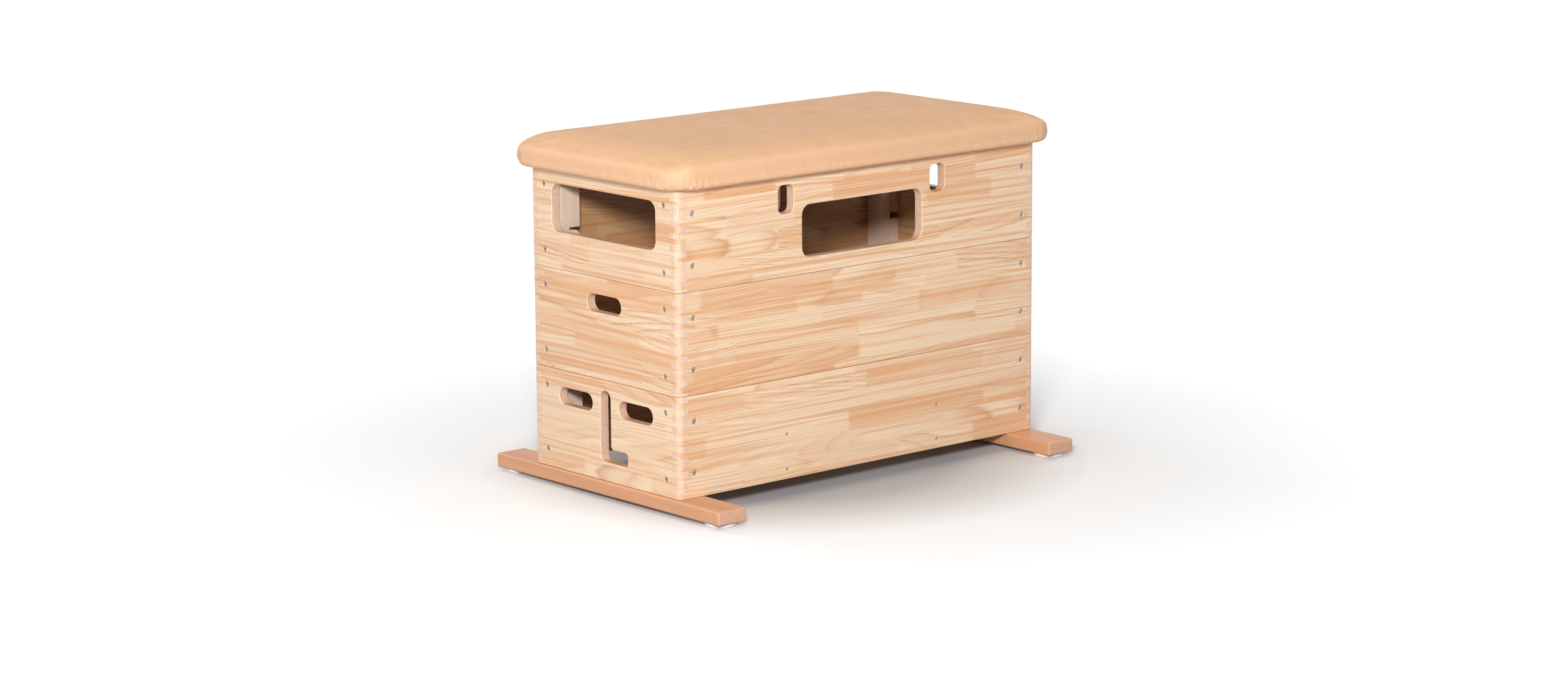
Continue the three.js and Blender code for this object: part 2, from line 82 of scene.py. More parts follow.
class BoardSizes(bpy.types.PropertyGroup):
    """Sizes of the boards of the three frames and of what is cut into them."""

    wall: length("Wall", "Thickness of the boards", 0.022)
    corner_radius: length("Corner radius", "Rounding of the upright outer corners", 0.012)
    finger: length("Finger", "Height of one finger of the corner joints", 0.012)
    glue_line: length("Glue line", "Gap between glued fingers", 0.0001)
    seam_round: length("Seam rounding", "Rounding of the outer edges where two frames meet", 0.0021)
    rim_round: length("Rim rounding", "Rounding of the rims of the cut-outs", 0.0026)
    end_window_height: length("End window height", "Height of the windows in the end boards", 0.095)
    end_window_drop: length("End window drop", "Top edge down to the end windows", 0.031)
    side_window_width: length("Side window width", "Width of the windows in the long sides", 0.316)
    side_window_height: length("Side window height", "Height of the side windows", 0.103)
    side_window_rise: length("Side window rise", "Bottom edge to the side windows", 0.032)
    window_radius: length("Window radius", "Rounding of the windows' corners", 0.020)
    slot_spacing: length("Slot spacing", "Between the two hook slots of one side", 0.400)
    slot_width: length("Slot width", "Width of the hook slots", 0.039)
    slot_height: length("Slot height", "Height of the hook slots", 0.055)
    slot_drop: length("Slot drop", "Top edge down to the hook slots", 0.021)
    slot_radius: length("Slot radius", "Rounding of the hook slots' corners", 0.012)
    grip_width: length("Grip width", "Width of the hand grips", 0.104)
    grip_height: length("Grip height", "Height of the hand grips", 0.035)
    grip_drop: length("Grip drop", "Top edge down to the middle of the grips", 0.051)
    grip_spacing: length("Grip spacing", "Between the two grips of the bottom frame's ends", 0.185)
    catch_width: length("Catch slot width", "Width of the upright of the L-shaped slot", 0.031)
    catch_drop: length("Catch slot drop", "Top edge down to the L-shaped slot", 0.021)
    catch_rise: length("Catch slot rise", "Bottom edge up to the L-shaped slot", 0.038)
    catch_foot: length("Catch slot foot", "Length of the foot of the L-shaped slot", 0.082)
    catch_foot_height: length("Catch foot height", "Height of the foot of the L-shaped slot", 0.027)
    pin_hole: length("Pin hole", "Diameter of the small holes in the long sides", 0.007)
    pin_hole_rise: length("Pin hole rise", "Bottom edge to the lower small holes", 0.019)
    pin_hole_step: length("Pin hole step", "Between the lower and the upper small holes", 0.070)


class PostSizes(bpy.types.PropertyGroup):
    """Sizes of the corner posts and their tongues."""

    tongue: length("Tongue width", "Width of the tongue that rises into the frame above", 0.024)
    tongue_rise: length("Tongue rise", "How far the tongue rises above its frame", 0.070)
    tongue_round: length("Tongue rounding", "Rounding of the tongue's inner top edge", 0.014)
    socket_gap: length("Socket gap", "Free width beside the tongue of the post below", 0.002)
    socket_top_gap: length("Socket top gap", "Free height above that tongue", 0.005)
    foot_rise: length("Foot rise", "From the frame's bottom edge to the post's outer half", 0.009)
    head_drop: length("Head drop", "From the frame's top edge down to the post's outer half", 0.004)
    edge_round: length("Edge rounding", "Rounding of the posts' edges", 0.0012)


class FittingSizes(bpy.types.PropertyGroup):
    """Sizes of the screws, runners and glides."""

    head: length("Screw head", "Diameter of the frame screws' heads", 0.0110)
    head_sink: length("Head sink", "How far the heads lie below the face of the board", 0.0021)
    shank: length("Screw shank", "Diameter of the frame screws", 0.0056)
    screw_length: length("Screw length", "Length of the frame screws", 0.0385)
    hole_gap: length("Hole gap", "Free ring around a screw head", 0.0004)
    end_inset: length("End screw inset", "From the long side in to the end boards' screws", 0.0415)
    end_margin: length("End screw margin", "From the board's edges to the end screws", 0.035)
    side_inset: length("Side screw inset", "From the end in to the long boards' screws", 0.0375)
    side_margin: length("Side screw margin", "From the board's edges to the side screws", 0.050)
    runner_round: length("Runner rounding", "Rounding of the runners' edges", 0.0045)
    runner_screw_sink: length("Runner screw sink", "How deep the runners' screws lie", 0.008)
    glide_round: length("Glide rounding", "Rounding of the glides' lower edge", 0.003)


class PadSizes(bpy.types.PropertyGroup):
    """Sizes of the padded top."""

    leather: length("Leather", "Thickness of the leather", 0.002)
    turn_under: length("Turn under", "How far the leather reaches in under the board", 0.028)
    swell: length("Swell", "How far the cover may swell out when it is blown up", 0.003)
    voxel: length("Mesh step", "Mesh size of the cover before it is smoothed", 0.0055)
    pressure: number("Pressure", "Pressure that fills the cover", 4.0)
    pucker: length("Pucker", "Depth of the small folds at the lower corners", 0.0030)
    fill: number("Fill", "How tight the padding is, from 0 to 1", 0.85)


class Finishes(bpy.types.PropertyGroup):
    """Colours of the surfaces."""

    pine_pale: colour("Pale pine", "Sapwood of the pine staves", (0.920, 0.715, 0.495))
    pine_warm: colour("Warm pine", "Darker heartwood staves", (0.780, 0.430, 0.215))
    pine_late: colour("Late wood", "Dark lines of the growth rings", (0.560, 0.215, 0.075))
    pine_end: colour("Pine end grain", "Cut ends of the pine", (0.860, 0.630, 0.500))
    pine_arcs: colour("Pine end arcs", "Growth rings on the pine's cut ends", (0.520, 0.200, 0.105))
    stave_height: length("Stave height", "Height of the staves glued into a board", 0.037)
    stave_length: length("Stave length", "Mean length of the staves", 0.300)
    beech_pale: colour("Pale beech", "Beech of the corner posts", (0.960, 0.740, 0.595))
    beech_red: colour("Red beech", "Beech of the runners", (0.790, 0.400, 0.215))
    beech_end: colour("Beech end grain", "Cut ends of the runners", (0.680, 0.410, 0.290))
    ply: colour("Plywood", "Board under the padding", (0.640, 0.470, 0.290))
    foam: colour("Foam", "Padding", (0.700, 0.640, 0.520))
    leather: colour("Leather", "Natural leather of the cover", (0.820, 0.490, 0.275))
    zinc: colour("Zinc", "Plating of the screws", (0.440, 0.440, 0.430))
    glide: colour("Glide", "White plastic of the glides", (0.860, 0.850, 0.840))


class StageSettings(bpy.types.PropertyGroup):
    """The floor, the light and the camera."""

    floor: colour("Floor", "Floor and backdrop", (0.500, 0.500, 0.500))
    main: number("Main light", "Watts of the light before the near corner", 226.0)
    front: number("Front light", "Watts of the light before the long side", 18.0)
    side: number("Side light", "Watts of the light beside the left end", 24.0)
    back: number("Back light", "Watts of the light behind the box", 70.0)
    right: number("Right light", "Watts of the light beside the right end", 40.0)
    top: number("Top light", "Watts of the light above the box", 28.0)
    sky: number("Sky light", "Strength of the even light from all round", 0.17)
    lens: FloatProperty(name="Lens", description="Focal length", default=89.461, unit="CAMERA")


# Meshes


def mesh_object(name, bm):
    """A new object, linked to the scene, that holds the mesh."""
    mesh = bpy.data.meshes.new(name)
    bm.to_mesh(mesh)
    bm.free()
    made = bpy.data.objects.new(name, mesh)
    bpy.context.scene.collection.objects.link(made)
    return made


def add_loft(bm, rings, closed=False):
    """Adds a body from rings with equal counts, with a cap at both ends or closed to a hoop."""
    rows = [[bm.verts.new(point) for point in ring] for ring in rings]
    faces = [] if closed else [bm.faces.new(rows[0]), bm.faces.new(rows[-1])]
    for here, there in zip(rows, rows[1:] + rows[:1] if closed else rows[1:]):
        for k in range(len(here)):
            after = (k + 1) % len(here)
            faces.append(bm.faces.new((here[k], here[after], there[after], there[k])))
    bmesh.ops.recalc_face_normals(bm, faces=faces)


def loft_object(name, rings, closed=False):
    bm = bmesh.new()
    add_loft(bm, rings, closed)
    return mesh_object(name, bm)


def carve(body, tool, operation):
    """Cuts the tool away from the body, or keeps only what they share, and deletes the tool."""
    modifier = body.modifiers.new("carve", "BOOLEAN")
    modifier.operation = operation
    modifier.solver = "EXACT"
    modifier.object = tool
    settle(body)
    bpy.data.objects.remove(tool)


def settle(body):
    """Applies the body's modifiers to its mesh."""
    seen = body.evaluated_get(bpy.context.evaluated_depsgraph_get())
    mesh = bpy.data.meshes.new_from_object(seen)
    body.modifiers.clear()
    old = body.data
    body.data = mesh
    bpy.data.meshes.remove(old)
    mesh.name = body.name


def smooth(body, angle=32, even=True):
    """Shades the body smooth except at its sharp edges."""
    body.data.shade_smooth()
    body.data.set_sharp_from_angle(angle=math.radians(angle))
    if even:
        modifier = body.modifiers.new("even normals", "WEIGHTED_NORMAL")
        modifier.keep_sharp = True
        modifier.weight = 100


def quarter_round(radius, steps=3):
    """Pairs of (set back, depth) round a convex edge, from its face to its side."""
    pairs = []
    for i in range(steps + 1):
        angle = i / steps * math.pi / 2
        pairs.append((radius - radius * math.sin(angle), radius - radius * math.cos(angle)))
    return pairs


def arc(u, v, radius, start, end, steps):
    points = []
    for i in range(steps + 1):
        angle = math.radians(start + (end - start) * i / steps)
        points.append((u + radius * math.cos(angle), v + radius * math.sin(angle)))
    return points


def rounded_rectangle(u, v, width, height, radius, grow=0.0, steps=8):
    """Outline of a rectangle with round corners, with all its sides moved out by grow."""
    points = []
    for i, (su, sv) in enumerate(((1, 1), (-1, 1), (-1, -1), (1, -1))):
        centre = u + su * (width / 2 - radius), v + sv * (height / 2 - radius)
        points += arc(*centre, radius + grow, i * 90, i * 90 + 90, steps)
    least = 1e-6
    return [p for p, q in zip(points, points[1:] + points[:1]) if math.dist(p, q) > least]


def block_rings(place, size, upright_radius, rounds, steps):
    """Rings of a block from its foot up. The rounds shape its top and bottom edges."""
    (u, v, foot), (width, depth, height) = place, size
    path = [(-back, rise) for back, rise in rounds]
    path += [(-back, height - rise) for back, rise in reversed(rounds)]
    rings = []
    for grow, z in path:
        outline = rounded_rectangle(u, v, width, depth, upright_radius, grow, steps)
        rings.append([Vector((x, y, foot + z)) for x, y in outline])
    return rings


# Where each kind of piece is cut from the endless pattern of the timber
BOARD_CUT, POST_CUT, RUNNER_CUT = 60, 20, 40


def put_grain(body, along, cut, axes, inward=Vector()):
    """Stores each point's place in the timber, and which faces are end grain or look inward."""
    shift_along, shift_up = 2.37, 0.613  # between the places that two pieces are cut from
    mesh = body.data
    places = []
    for vertex in mesh.vertices:
        a, t, u = (vertex.co[axis] for axis in axes)
        places += [a + shift_along * cut, t, u + shift_up * cut]
    grain = mesh.attributes.new("grain", "FLOAT_VECTOR", "POINT")
    grain.data.foreach_set("vector", places)
    across = mesh.attributes.new("end_grain", "FLOAT", "FACE")
    across.data.foreach_set("value", [abs(face.normal.dot(along)) for face in mesh.polygons])
    inside = mesh.attributes.new("inner_face", "FLOAT", "FACE")
    inside.data.foreach_set("value", [max(face.normal.dot(inward), 0) for face in mesh.polygons])


def finish_piece(body, material, ridden, nodes=()):
    """Gives a piece its material, slot and body, and hides the CAD nodes that it stands for."""
    body.data.materials.clear()
    body.data.materials.append(material)
    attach(body, ridden)
    if nodes:
        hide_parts(*nodes)


# Frames


def section_level(section):
    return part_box(f"{section}_front_board")[0].z


def frame_size():
    """Length, width and height of one frame."""
    low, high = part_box("bottom_front_board")
    return high.x - low.x, -2 * low.y, high.z - low.z


def board_place(face):
    """Turns (along the board, up, in from the outer face) into a place in the row frame."""
    size_x, size_y, _ = frame_size()
    return {
        "front": lambda u, v, t: Vector((u, t - size_y / 2, v)),
        "back": lambda u, v, t: Vector((u, size_y / 2 - t, v)),
        "left_end": lambda u, v, t: Vector((t - size_x / 2, u, v)),
        "right_end": lambda u, v, t: Vector((size_x / 2 - t, u, v)),
    }[face]


def comb_outline(half_span, holds_even, sizes):
    """Outline of a board with the fingers of its corner joints at both ends."""
    height = frame_size()[2]
    rounding = 1e-6
    count = math.ceil(height / sizes.finger - rounding)
    side = []
    for i in range(count):
        stands_out = (i % 2 == 0) == holds_even
        slack = sizes.glue_line / 2 if stands_out else -sizes.glue_line / 2
        top = height - i * sizes.finger - (slack if i else 0)
        foot = max(height - (i + 1) * sizes.finger + (slack if i < count - 1 else 0), 0)
        reach = half_span if stands_out else half_span - sizes.wall - sizes.glue_line
        side += [(reach, top), (reach, foot)]
    return side + [(-u, v) for u, v in reversed(side)]


def catch_outline(grow, sizes):
    """Outline of the L-shaped slot: an upright with a foot towards the front."""
    height = frame_size()[2]
    far = sizes.catch_width / 2
    tip = far - sizes.catch_foot
    low = sizes.catch_rise
    foot_top = low + sizes.catch_foot_height
    # Radii of the outer corner, of the inner one and of the foot's end
    corner, inner, end = 0.012, 0.008, 0.006
    return (
        arc(0, height - sizes.catch_drop - far, far + grow, 0, 180, 16)
        + arc(-far - inner, foot_top + inner, inner - grow, 0, -90, 6)
        + arc(tip + end, foot_top - end, end + grow, 90, 180, 6)
        + arc(tip + end, low + end, end + grow, 180, 270, 6)
        + arc(far - corner, low + corner, corner + grow, 270, 360, 6)
    )


def cut_outs(section, face, sizes):
    """The cut-outs of one board, each as a function that gives its outline grown by a length."""
    _, size_y, height = frame_size()
    cuts = []

    def rectangle(u, v, width, tall, radius):
        cuts.append(lambda grow: rounded_rectangle(u, v, width, tall, radius, grow))

    end = face.endswith("end")
    if section == "top" and end:
        width = size_y - 2 * (sizes.wall + post_size()[1])
        middle = height - sizes.end_window_drop - sizes.end_window_height / 2
        rectangle(0, middle, width, sizes.end_window_height, sizes.window_radius)
    if section == "top" and not end:
        middle = sizes.side_window_rise + sizes.side_window_height / 2
        rectangle(0, middle, sizes.side_window_width, sizes.side_window_height, sizes.window_radius)
        for side in (-1, 1):
            middle = height - sizes.slot_drop - sizes.slot_height / 2
            u = side * sizes.slot_spacing / 2
            rectangle(u, middle, sizes.slot_width, sizes.slot_height, sizes.slot_radius)
    grip_shares = {"middle": (0,), "bottom": (-0.5, 0.5)}.get(section, ()) if end else ()
    hair = 1e-5  # leaves a trace of the straight side between the two half rounds
    for share in grip_shares:
        u, v = share * sizes.grip_spacing, height - sizes.grip_drop
        rectangle(u, v, sizes.grip_width, sizes.grip_height, sizes.grip_height / 2 - hair)
    if section == "bottom" and face == "left_end":
        cuts.append(lambda grow: catch_outline(grow, sizes))
    return cuts


def add_cut(bm, outline, sizes, place, level, rim):
    """Adds the tool for one cut-out, flared at both faces so that it leaves round rims."""
    over = sizes.wall
    rounds = quarter_round(rim)
    path = [(rim, -over)] + rounds
    path += [(grow, sizes.wall - depth) for grow, depth in reversed(rounds)]
    path.append((rim, sizes.wall + over))
    add_loft(bm, [[place(u, v + level, t) for u, v in outline(grow)] for grow, t in path])


def turned(profile, sides, turn=None, place=Vector()):
    """Rings of a turned body, from pairs of (radius, height) along the axis."""
    rings = []
    for radius, z in profile:
        ring = []
        for k in range(sides):
            angle = 2 * math.pi * k / sides
            point = Vector((radius * math.cos(angle), radius * math.sin(angle), z))
            ring.append((turn @ point if turn else point) + place)
        rings.append(ring)
    return rings


def frame_screws(section, fittings):
    """Board, place, direction and CAD node, if any, of each frame screw of one section."""
    size_x, size_y, height = frame_size()
    level = section_level(section)
    screws = []
    for corner, (side, face) in CORNERS.items():
        for share in (1, 0):
            up = share * (height - fittings.end_margin) + (1 - share) * fittings.end_margin
            across = face * (size_y / 2 - fittings.end_inset)
            place = Vector((side * size_x / 2, across, level + up))
            node = f"{section}_screw_{corner}" if share else None
            board = "left_end" if side < 0 else "right_end"
            screws.append((board, place, Vector((-side, 0, 0)), node))
            up = share * (height - fittings.side_margin) + (1 - share) * fittings.side_margin
            along = side * (size_x / 2 - fittings.side_inset)
            place = Vector((along, face * size_y / 2, level + up))
            screws.append(("front" if face < 0 else "back", place, Vector((0, -face, 0)), None))
    return screws


def add_screw_hole(bm, place, direction, fittings, wall):
    """Adds the tool for a countersunk hole through a board, with a small chamfer at its mouth."""
    chamfer, edge_drop, cone_depth = 0.0005, 0.0008, 0.0032
    radius = fittings.head / 2 + fittings.hole_gap
    shank = fittings.shank / 2 + fittings.hole_gap
    profile = [
        (radius + chamfer, -wall),
        (radius + chamfer, 0),
        (radius, chamfer),
        (radius, fittings.head_sink + edge_drop),
        (shank, fittings.head_sink + edge_drop + cone_depth),
        (shank, wall * 2),
    ]
    turn = Vector((0, 0, 1)).rotation_difference(direction)
    sides = 28
    add_loft(bm, turned(profile, sides, turn, place))


def frame_shell(level, sizes):
    """The outer form of one frame: upright corners rounded, top and bottom edges softened."""
    rounds = quarter_round(sizes.seam_round)
    rings = block_rings((0, 0, level), frame_size(), sizes.corner_radius, rounds, 10)
    return loft_object("frame_shell", rings)


def make_board(section, face, index, sizes, fittings):
    size_x, size_y, _ = frame_size()
    level = section_level(section)
    place = board_place(face)
    end = face.endswith("end")
    outline = comb_outline((size_y if end else size_x) / 2, end, sizes)
    rings = [[place(u, v + level, t) for u, v in outline] for t in (0, sizes.wall)]
    board = loft_object(f"{section}_{face}_timber", rings)
    tool = bmesh.new()
    for outline_of in cut_outs(section, face, sizes):
        add_cut(tool, outline_of, sizes, place, level, sizes.rim_round)
    pin_rim = sizes.rim_round / 3
    for side in (-1, 1) if section == "bottom" and not end else ():
        for rise in (sizes.pin_hole_rise, sizes.pin_hole_rise + sizes.pin_hole_step):
            u = side * sizes.slot_spacing / 2
            hole = lambda grow: arc(u, rise, sizes.pin_hole / 2 + grow, 0, 350, 35)
            add_cut(tool, hole, sizes, place, level, pin_rim)
    for board_name, at, direction, _ in frame_screws(section, fittings):
        if board_name == face:
            add_screw_hole(tool, at, direction, fittings, sizes.wall)
    carve(board, mesh_object("cut_outs", tool), "DIFFERENCE")
    carve(board, frame_shell(level, sizes), "INTERSECT")
    smooth(board)
    along = Vector((0, 1, 0)) if end else Vector((1, 0, 0))
    inward = place(0, 0, 1) - place(0, 0, 0)
    put_grain(board, along, index, (1, 0, 2) if end else (0, 1, 2), inward)
    return board


# Posts


def post_size():
    """Width along the box and depth across it of a corner post."""
    low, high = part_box("bottom_post_front_left")
    return high.x - low.x, high.y - low.y


def post_outline(section, sizes):
    """Outline of a post, in from the end board's inner face and up from the frame's foot."""
    width, _ = post_size()
    height = frame_size()[2]
    start = width - sizes.tongue
    socket = start - sizes.socket_gap
    points = [(0, 0), (width, 0)]
    if section != "bottom":
        socket_top = sizes.tongue_rise + sizes.socket_top_gap
        points = [(0, sizes.foot_rise), (socket, sizes.foot_rise)]
        points += [(socket, socket_top), (width, socket_top)]
    if section == "top":
        return points + [(width, height), (0, height)]
    top = height + sizes.tongue_rise
    radius = sizes.tongue_round
    points += arc(width - radius, top - radius, radius, 0, 90, 8)
    shoulder = height - sizes.head_drop
    return points + [(start, top), (start, shoulder), (0, shoulder)]


def make_post(section, corner, index, sizes):
    side, _ = CORNERS[corner]
    node = f"{section}_post_{corner}"
    low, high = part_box(node)
    level = section_level(section)
    outer = low.x if side < 0 else high.x
    outline = [(outer - side * u, v + level) for u, v in post_outline(section, sizes)]
    rings = [[Vector((x, y, z)) for x, z in outline] for y in (low.y, high.y)]
    post = loft_object(node.replace("post", "post_timber"), rings)
    bevel = post.modifiers.new("edges", "BEVEL")
    bevel.width = sizes.edge_round
    bevel.segments = 2
    bevel.angle_limit = math.radians(40)
    settle(post)
    smooth(post)
    put_grain(post, Vector((0, 0, 1)), index, (2, 0, 1))
    return post, node


# Screws, runners and glides


def screw_mesh(name, head, shank, length_along, sink):
    """A countersunk screw with a hexagon socket. Its axis is Z, and its tip lies towards +Z."""
    sides = 24
    tip_share, cone_share = 0.08, 0.28
    shoulder_share, flat_share, mouth_share = 0.46, 0.37, 0.27
    socket_share, socket_depth_share = 0.175, 0.22
    edge_drop, shoulder_drop = 0.0008, 0.0003
    profile = [
        (shank * tip_share, sink + length_along),
        (shank / 2, sink + length_along - shank),
        (shank / 2, sink + cone_share * head),
        (head / 2, sink + edge_drop),
        (head * shoulder_share, sink + shoulder_drop),
        (head * flat_share, sink),
        (head * mouth_share, sink),
    ]
    rings = turned(profile, sides)
    for z in (sink, sink + socket_depth_share * head):
        ring = []
        for k in range(sides):
            angle = 2 * math.pi * k / sides
            from_flat = (angle % (math.pi / 3)) - math.pi / 6
            radius = socket_share * head / math.cos(from_flat)
            ring.append(Vector((radius * math.cos(angle), radius * math.sin(angle), z)))
        rings.append(ring)
    made = loft_object(name, rings)
    smooth(made, angle=30, even=False)
    mesh = made.data
    bpy.data.objects.remove(made)
    return mesh


def fit_screw(name, mesh, place, direction, spin):
    screw = bpy.data.objects.new(name, mesh)
    bpy.context.scene.collection.objects.link(screw)
    aim = Vector((0, 0, 1)).rotation_difference(direction)
    screw.rotation_mode = "QUATERNION"
    screw.rotation_quaternion = aim @ Quaternion((0, 0, 1), math.radians(spin))
    screw.location = place
    return screw


def node_screw(node, direction):
    """Place of a screw's head and the screw's length, read from its CAD node."""
    low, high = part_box(node)
    centre = (low + high) / 2
    axis = max(range(3), key=lambda i: abs(direction[i]))
    reach = high[axis] - low[axis]
    place = centre.copy()
    place[axis] = low[axis] if direction[axis] > 0 else high[axis]
    return place, reach


def make_runner(side_name, index, fittings):
    node = f"{side_name}_runner"
    low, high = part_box(node)
    centre = (low + high) / 2
    size = (high.x - low.x, high.y - low.y, high.z - low.z)
    margin = 0.0005  # keeps the upright edges round where the top and bottom ones turn in
    rounds = quarter_round(fittings.runner_round, 4)
    place = (centre.x, centre.y, low.z)
    rings = block_rings(place, size, fittings.runner_round + margin, rounds, 4)
    runner = loft_object(f"{side_name}_runner_timber", rings)
    overrun, cone, shank_share, top, sides = 0.01, 0.004, 0.5, 0.05, 24
    tool = bmesh.new()
    for corner, (side, _) in CORNERS.items():
        if (side < 0) == (side_name == "left"):
            for kind in ("runner_screw", "glide_screw"):
                spot_low, spot_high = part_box(f"{kind}_{corner}")
                middle = (spot_low + spot_high) / 2
                hole = (spot_high.x - spot_low.x) / 2 + fittings.hole_gap
                depth = fittings.runner_screw_sink if kind == "runner_screw" else 0
                narrow = hole * shank_share
                profile = [(hole, -overrun), (hole, depth), (narrow, depth + cone), (narrow, top)]
                at = Vector((middle.x, middle.y, low.z))
                add_loft(tool, turned(profile, sides, None, at))
    carve(runner, mesh_object("screw_holes", tool), "DIFFERENCE")
    smooth(runner, angle=40)
    put_grain(runner, Vector((0, 1, 0)), index, (1, 0, 2))
    return runner, node


def make_glide(corner, fittings):
    node = f"glide_{corner}"
    low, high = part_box(node)
    centre = (low + high) / 2
    radius, top = (high.x - low.x) / 2, high.z - low.z
    spot_low, spot_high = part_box(f"glide_screw_{corner}")
    hole = (spot_high.x - spot_low.x) / 2 + fittings.hole_gap
    sink = spot_low.z - low.z
    cone, shank_share, chamfer, sides = 0.003, 0.45, 0.0004, 56
    narrow = hole * shank_share
    profile = [(narrow, top), (narrow, sink + cone), (hole, sink), (hole, 0)]
    profile += [(radius - back, depth) for back, depth in quarter_round(fittings.glide_round, 5)]
    profile += [(radius, top - chamfer), (radius - chamfer, top)]
    rings = turned(profile, sides, None, Vector((centre.x, centre.y, low.z)))
    glide = loft_object(f"{node}_disc", rings, closed=True)
    smooth(glide, angle=35)
    return glide, node


# Padded top


def through(points, steps):
    """A smooth line through the points, steps to each stretch."""
    line = []
    for i in range(len(points) - 1):
        around = (min(max(i + k, 0), len(points) - 1) for k in (-1, 0, 1, 2))
        p0, p1, p2, p3 = (Vector(points[at]) for at in around)
        for s in range(steps):
            t = s / steps
            line.append(
                0.5 * (
                    2 * p1
                    + (p2 - p0) * t
                    + (2 * p0 - 5 * p1 + 4 * p2 - p3) * t * t
                    + (3 * p1 - p0 - 3 * p2 + p3) * t * t * t
                )
            )
    return line + [Vector(points[-1])]


def pad_rings(inset):
    """Rings of the stuffed form, from its lower edge to near its middle, drawn in by inset."""
    size_x, size_y, _ = frame_size()
    low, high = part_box("pad_cover")
    reach = high.x - size_x / 2
    foot, tall = low.z, high.z - low.z
    # Out from the frame in shares of the overhang, and up in shares of the height
    edge_shares = [
        (0.46, 0.0), (0.62, -0.020), (0.80, -0.028), (0.93, 0.03), (0.99, 0.14), (1.0, 0.29),
        (0.99, 0.47), (0.935, 0.62), (0.80, 0.735), (0.54, 0.81), (0.10, 0.862), (-0.5, 0.905),
        (-1.4, 0.95), (-3.0, 0.982), (-5.2, 1.0),
    ]
    crown = 0.0008
    corner_radius, least_radius, corner_share = 0.052, 0.0125, 0.35
    lower_radius, lower_share = 0.014, 0.25
    end_drop, end_reach = 0.0145, 0.085
    corner_drop, corner_reach = 0.005, 0.12
    rings = []
    for point in through([(out, up, 0) for out, up in edge_shares], 3):
        out = point.x * reach - inset
        z = foot + point.y * (tall + crown)
        lower = lower_radius * max(1 - point.y / lower_share, 0)
        corner = max(corner_radius + corner_share * (out - reach) + lower, least_radius)
        outline = rounded_rectangle(0, 0, size_x + 2 * out, size_y + 2 * out, corner, 0, 8)
        ring = []
        for x, y in outline:
            from_end = size_x / 2 + reach - abs(x)
            from_corner = math.hypot(from_end, size_y / 2 + reach - abs(y))
            drop = end_drop * max(1 - from_end / end_reach, 0) ** 1.5
            drop += corner_drop * max(1 - from_corner / corner_reach, 0) ** 2
            ring.append(Vector((x, y, z - drop * point.y ** 2)))
        rings.append(ring)
    return rings


def swollen_pad(pad):
    """The stuffed form, filled by pressure as cloth, with its underside held flat."""
    coarser, swell_share, bearing, near_foot = 1.6, 0.6, 0.013, 0.002
    hold_from, hold_height, frames = 0.001, 0.014, 20
    form = loft_object("pad_form", pad_rings(pad.swell * -swell_share))
    remesh = form.modifiers.new("even mesh", "REMESH")
    remesh.mode = "VOXEL"
    remesh.voxel_size = pad.voxel * 1
    settle(form)
    size_x, size_y, _ = frame_size()
    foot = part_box("pad_cover")[0].z

    def rests(point):
        return max(abs(point.x) - size_x / 2, abs(point.y) - size_y / 2) < bearing

    for vertex in form.data.vertices:
        if vertex.co.z < foot + near_foot and rests(vertex.co):
            vertex.co.z = foot
    held = form.vertex_groups.new(name="held")
    for vertex in form.data.vertices:
        grip = 1 - (vertex.co.z - foot - hold_from) / hold_height
        if grip > 0:
            held.add([vertex.index], min(grip, 1), "REPLACE")
    start = [v.co.copy() for v in form.data.vertices]
    cloth = form.modifiers.new("fill", "CLOTH")
    settings = cloth.settings
    settings.quality = 4
    settings.mass = 0.4
    settings.tension_stiffness = settings.compression_stiffness = 40
    settings.bending_stiffness = 3
    settings.use_pressure = True
    settings.uniform_pressure_force = pad.pressure
    settings.effector_weights.gravity = 0
    settings.vertex_group_mass = "held"
    cloth.point_cache.frame_start, cloth.point_cache.frame_end = 1, frames
    for step in range(1, frames + 1):
        bpy.context.scene.frame_set(step)
    settle(form)
    for vertex, before in zip(form.data.vertices, start):
        move = vertex.co - before
        if move.length > pad.swell:
            vertex.co = before + move * (pad.swell / move.length)
        if rests(vertex.co):
            vertex.co.z = max(vertex.co.z, foot)
    bpy.context.scene.frame_set(1)
    return form


def pucker(form, pad):
    """Draws the leather in to small folds at its lower edge, deepest at the corners, and pleats."""
    size_x, size_y, _ = frame_size()
    low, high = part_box("pad_cover")
    border, top_share, corner_reach = 0.02, 0.85, 0.05
    crease_scale, crease_scale_up, crease_width = 95, 12, 0.22
    pleat_scale, pleat_scale_up, pleat_share = 42, 8, 0.22
    side_share, fold_share, pleat_middle_share, pleat_span_share = 0.25, 0.30, 0.35, 0.4
    for vertex in form.data.vertices:
        x, y, z = vertex.co
        up = (z - low.z) / (high.z - low.z)
        beyond_x, beyond_y = abs(x) - size_x / 2 + border, abs(y) - size_y / 2 + border
        if up > top_share or max(beyond_x, beyond_y) < 0:
            continue
        out_x, out_y = (math.copysign(max(b, 0), at) for b, at in ((beyond_x, x), (beyond_y, y)))
        out = Vector((out_x, out_y, 0)).normalized()
        from_corner = (size_x / 2 - abs(x)) ** 2 + (size_y / 2 - abs(y)) ** 2
        corner = math.exp(-(from_corner / corner_reach ** 2))
        ridge = noise.noise(Vector((x * crease_scale, y * crease_scale, z * crease_scale_up)))
        crease = max(1 - abs(ridge) / crease_width, 0)
        fold = crease * (side_share + corner) * math.exp(-((up / fold_share) ** 2))
        pleat = noise.noise(Vector((x * pleat_scale, y * pleat_scale, z * pleat_scale_up)))
        pleat *= math.exp(-(((up - pleat_middle_share) / pleat_span_share) ** 2))
        vertex.co -= out * pad.pucker * (fold - pleat_share * pleat)


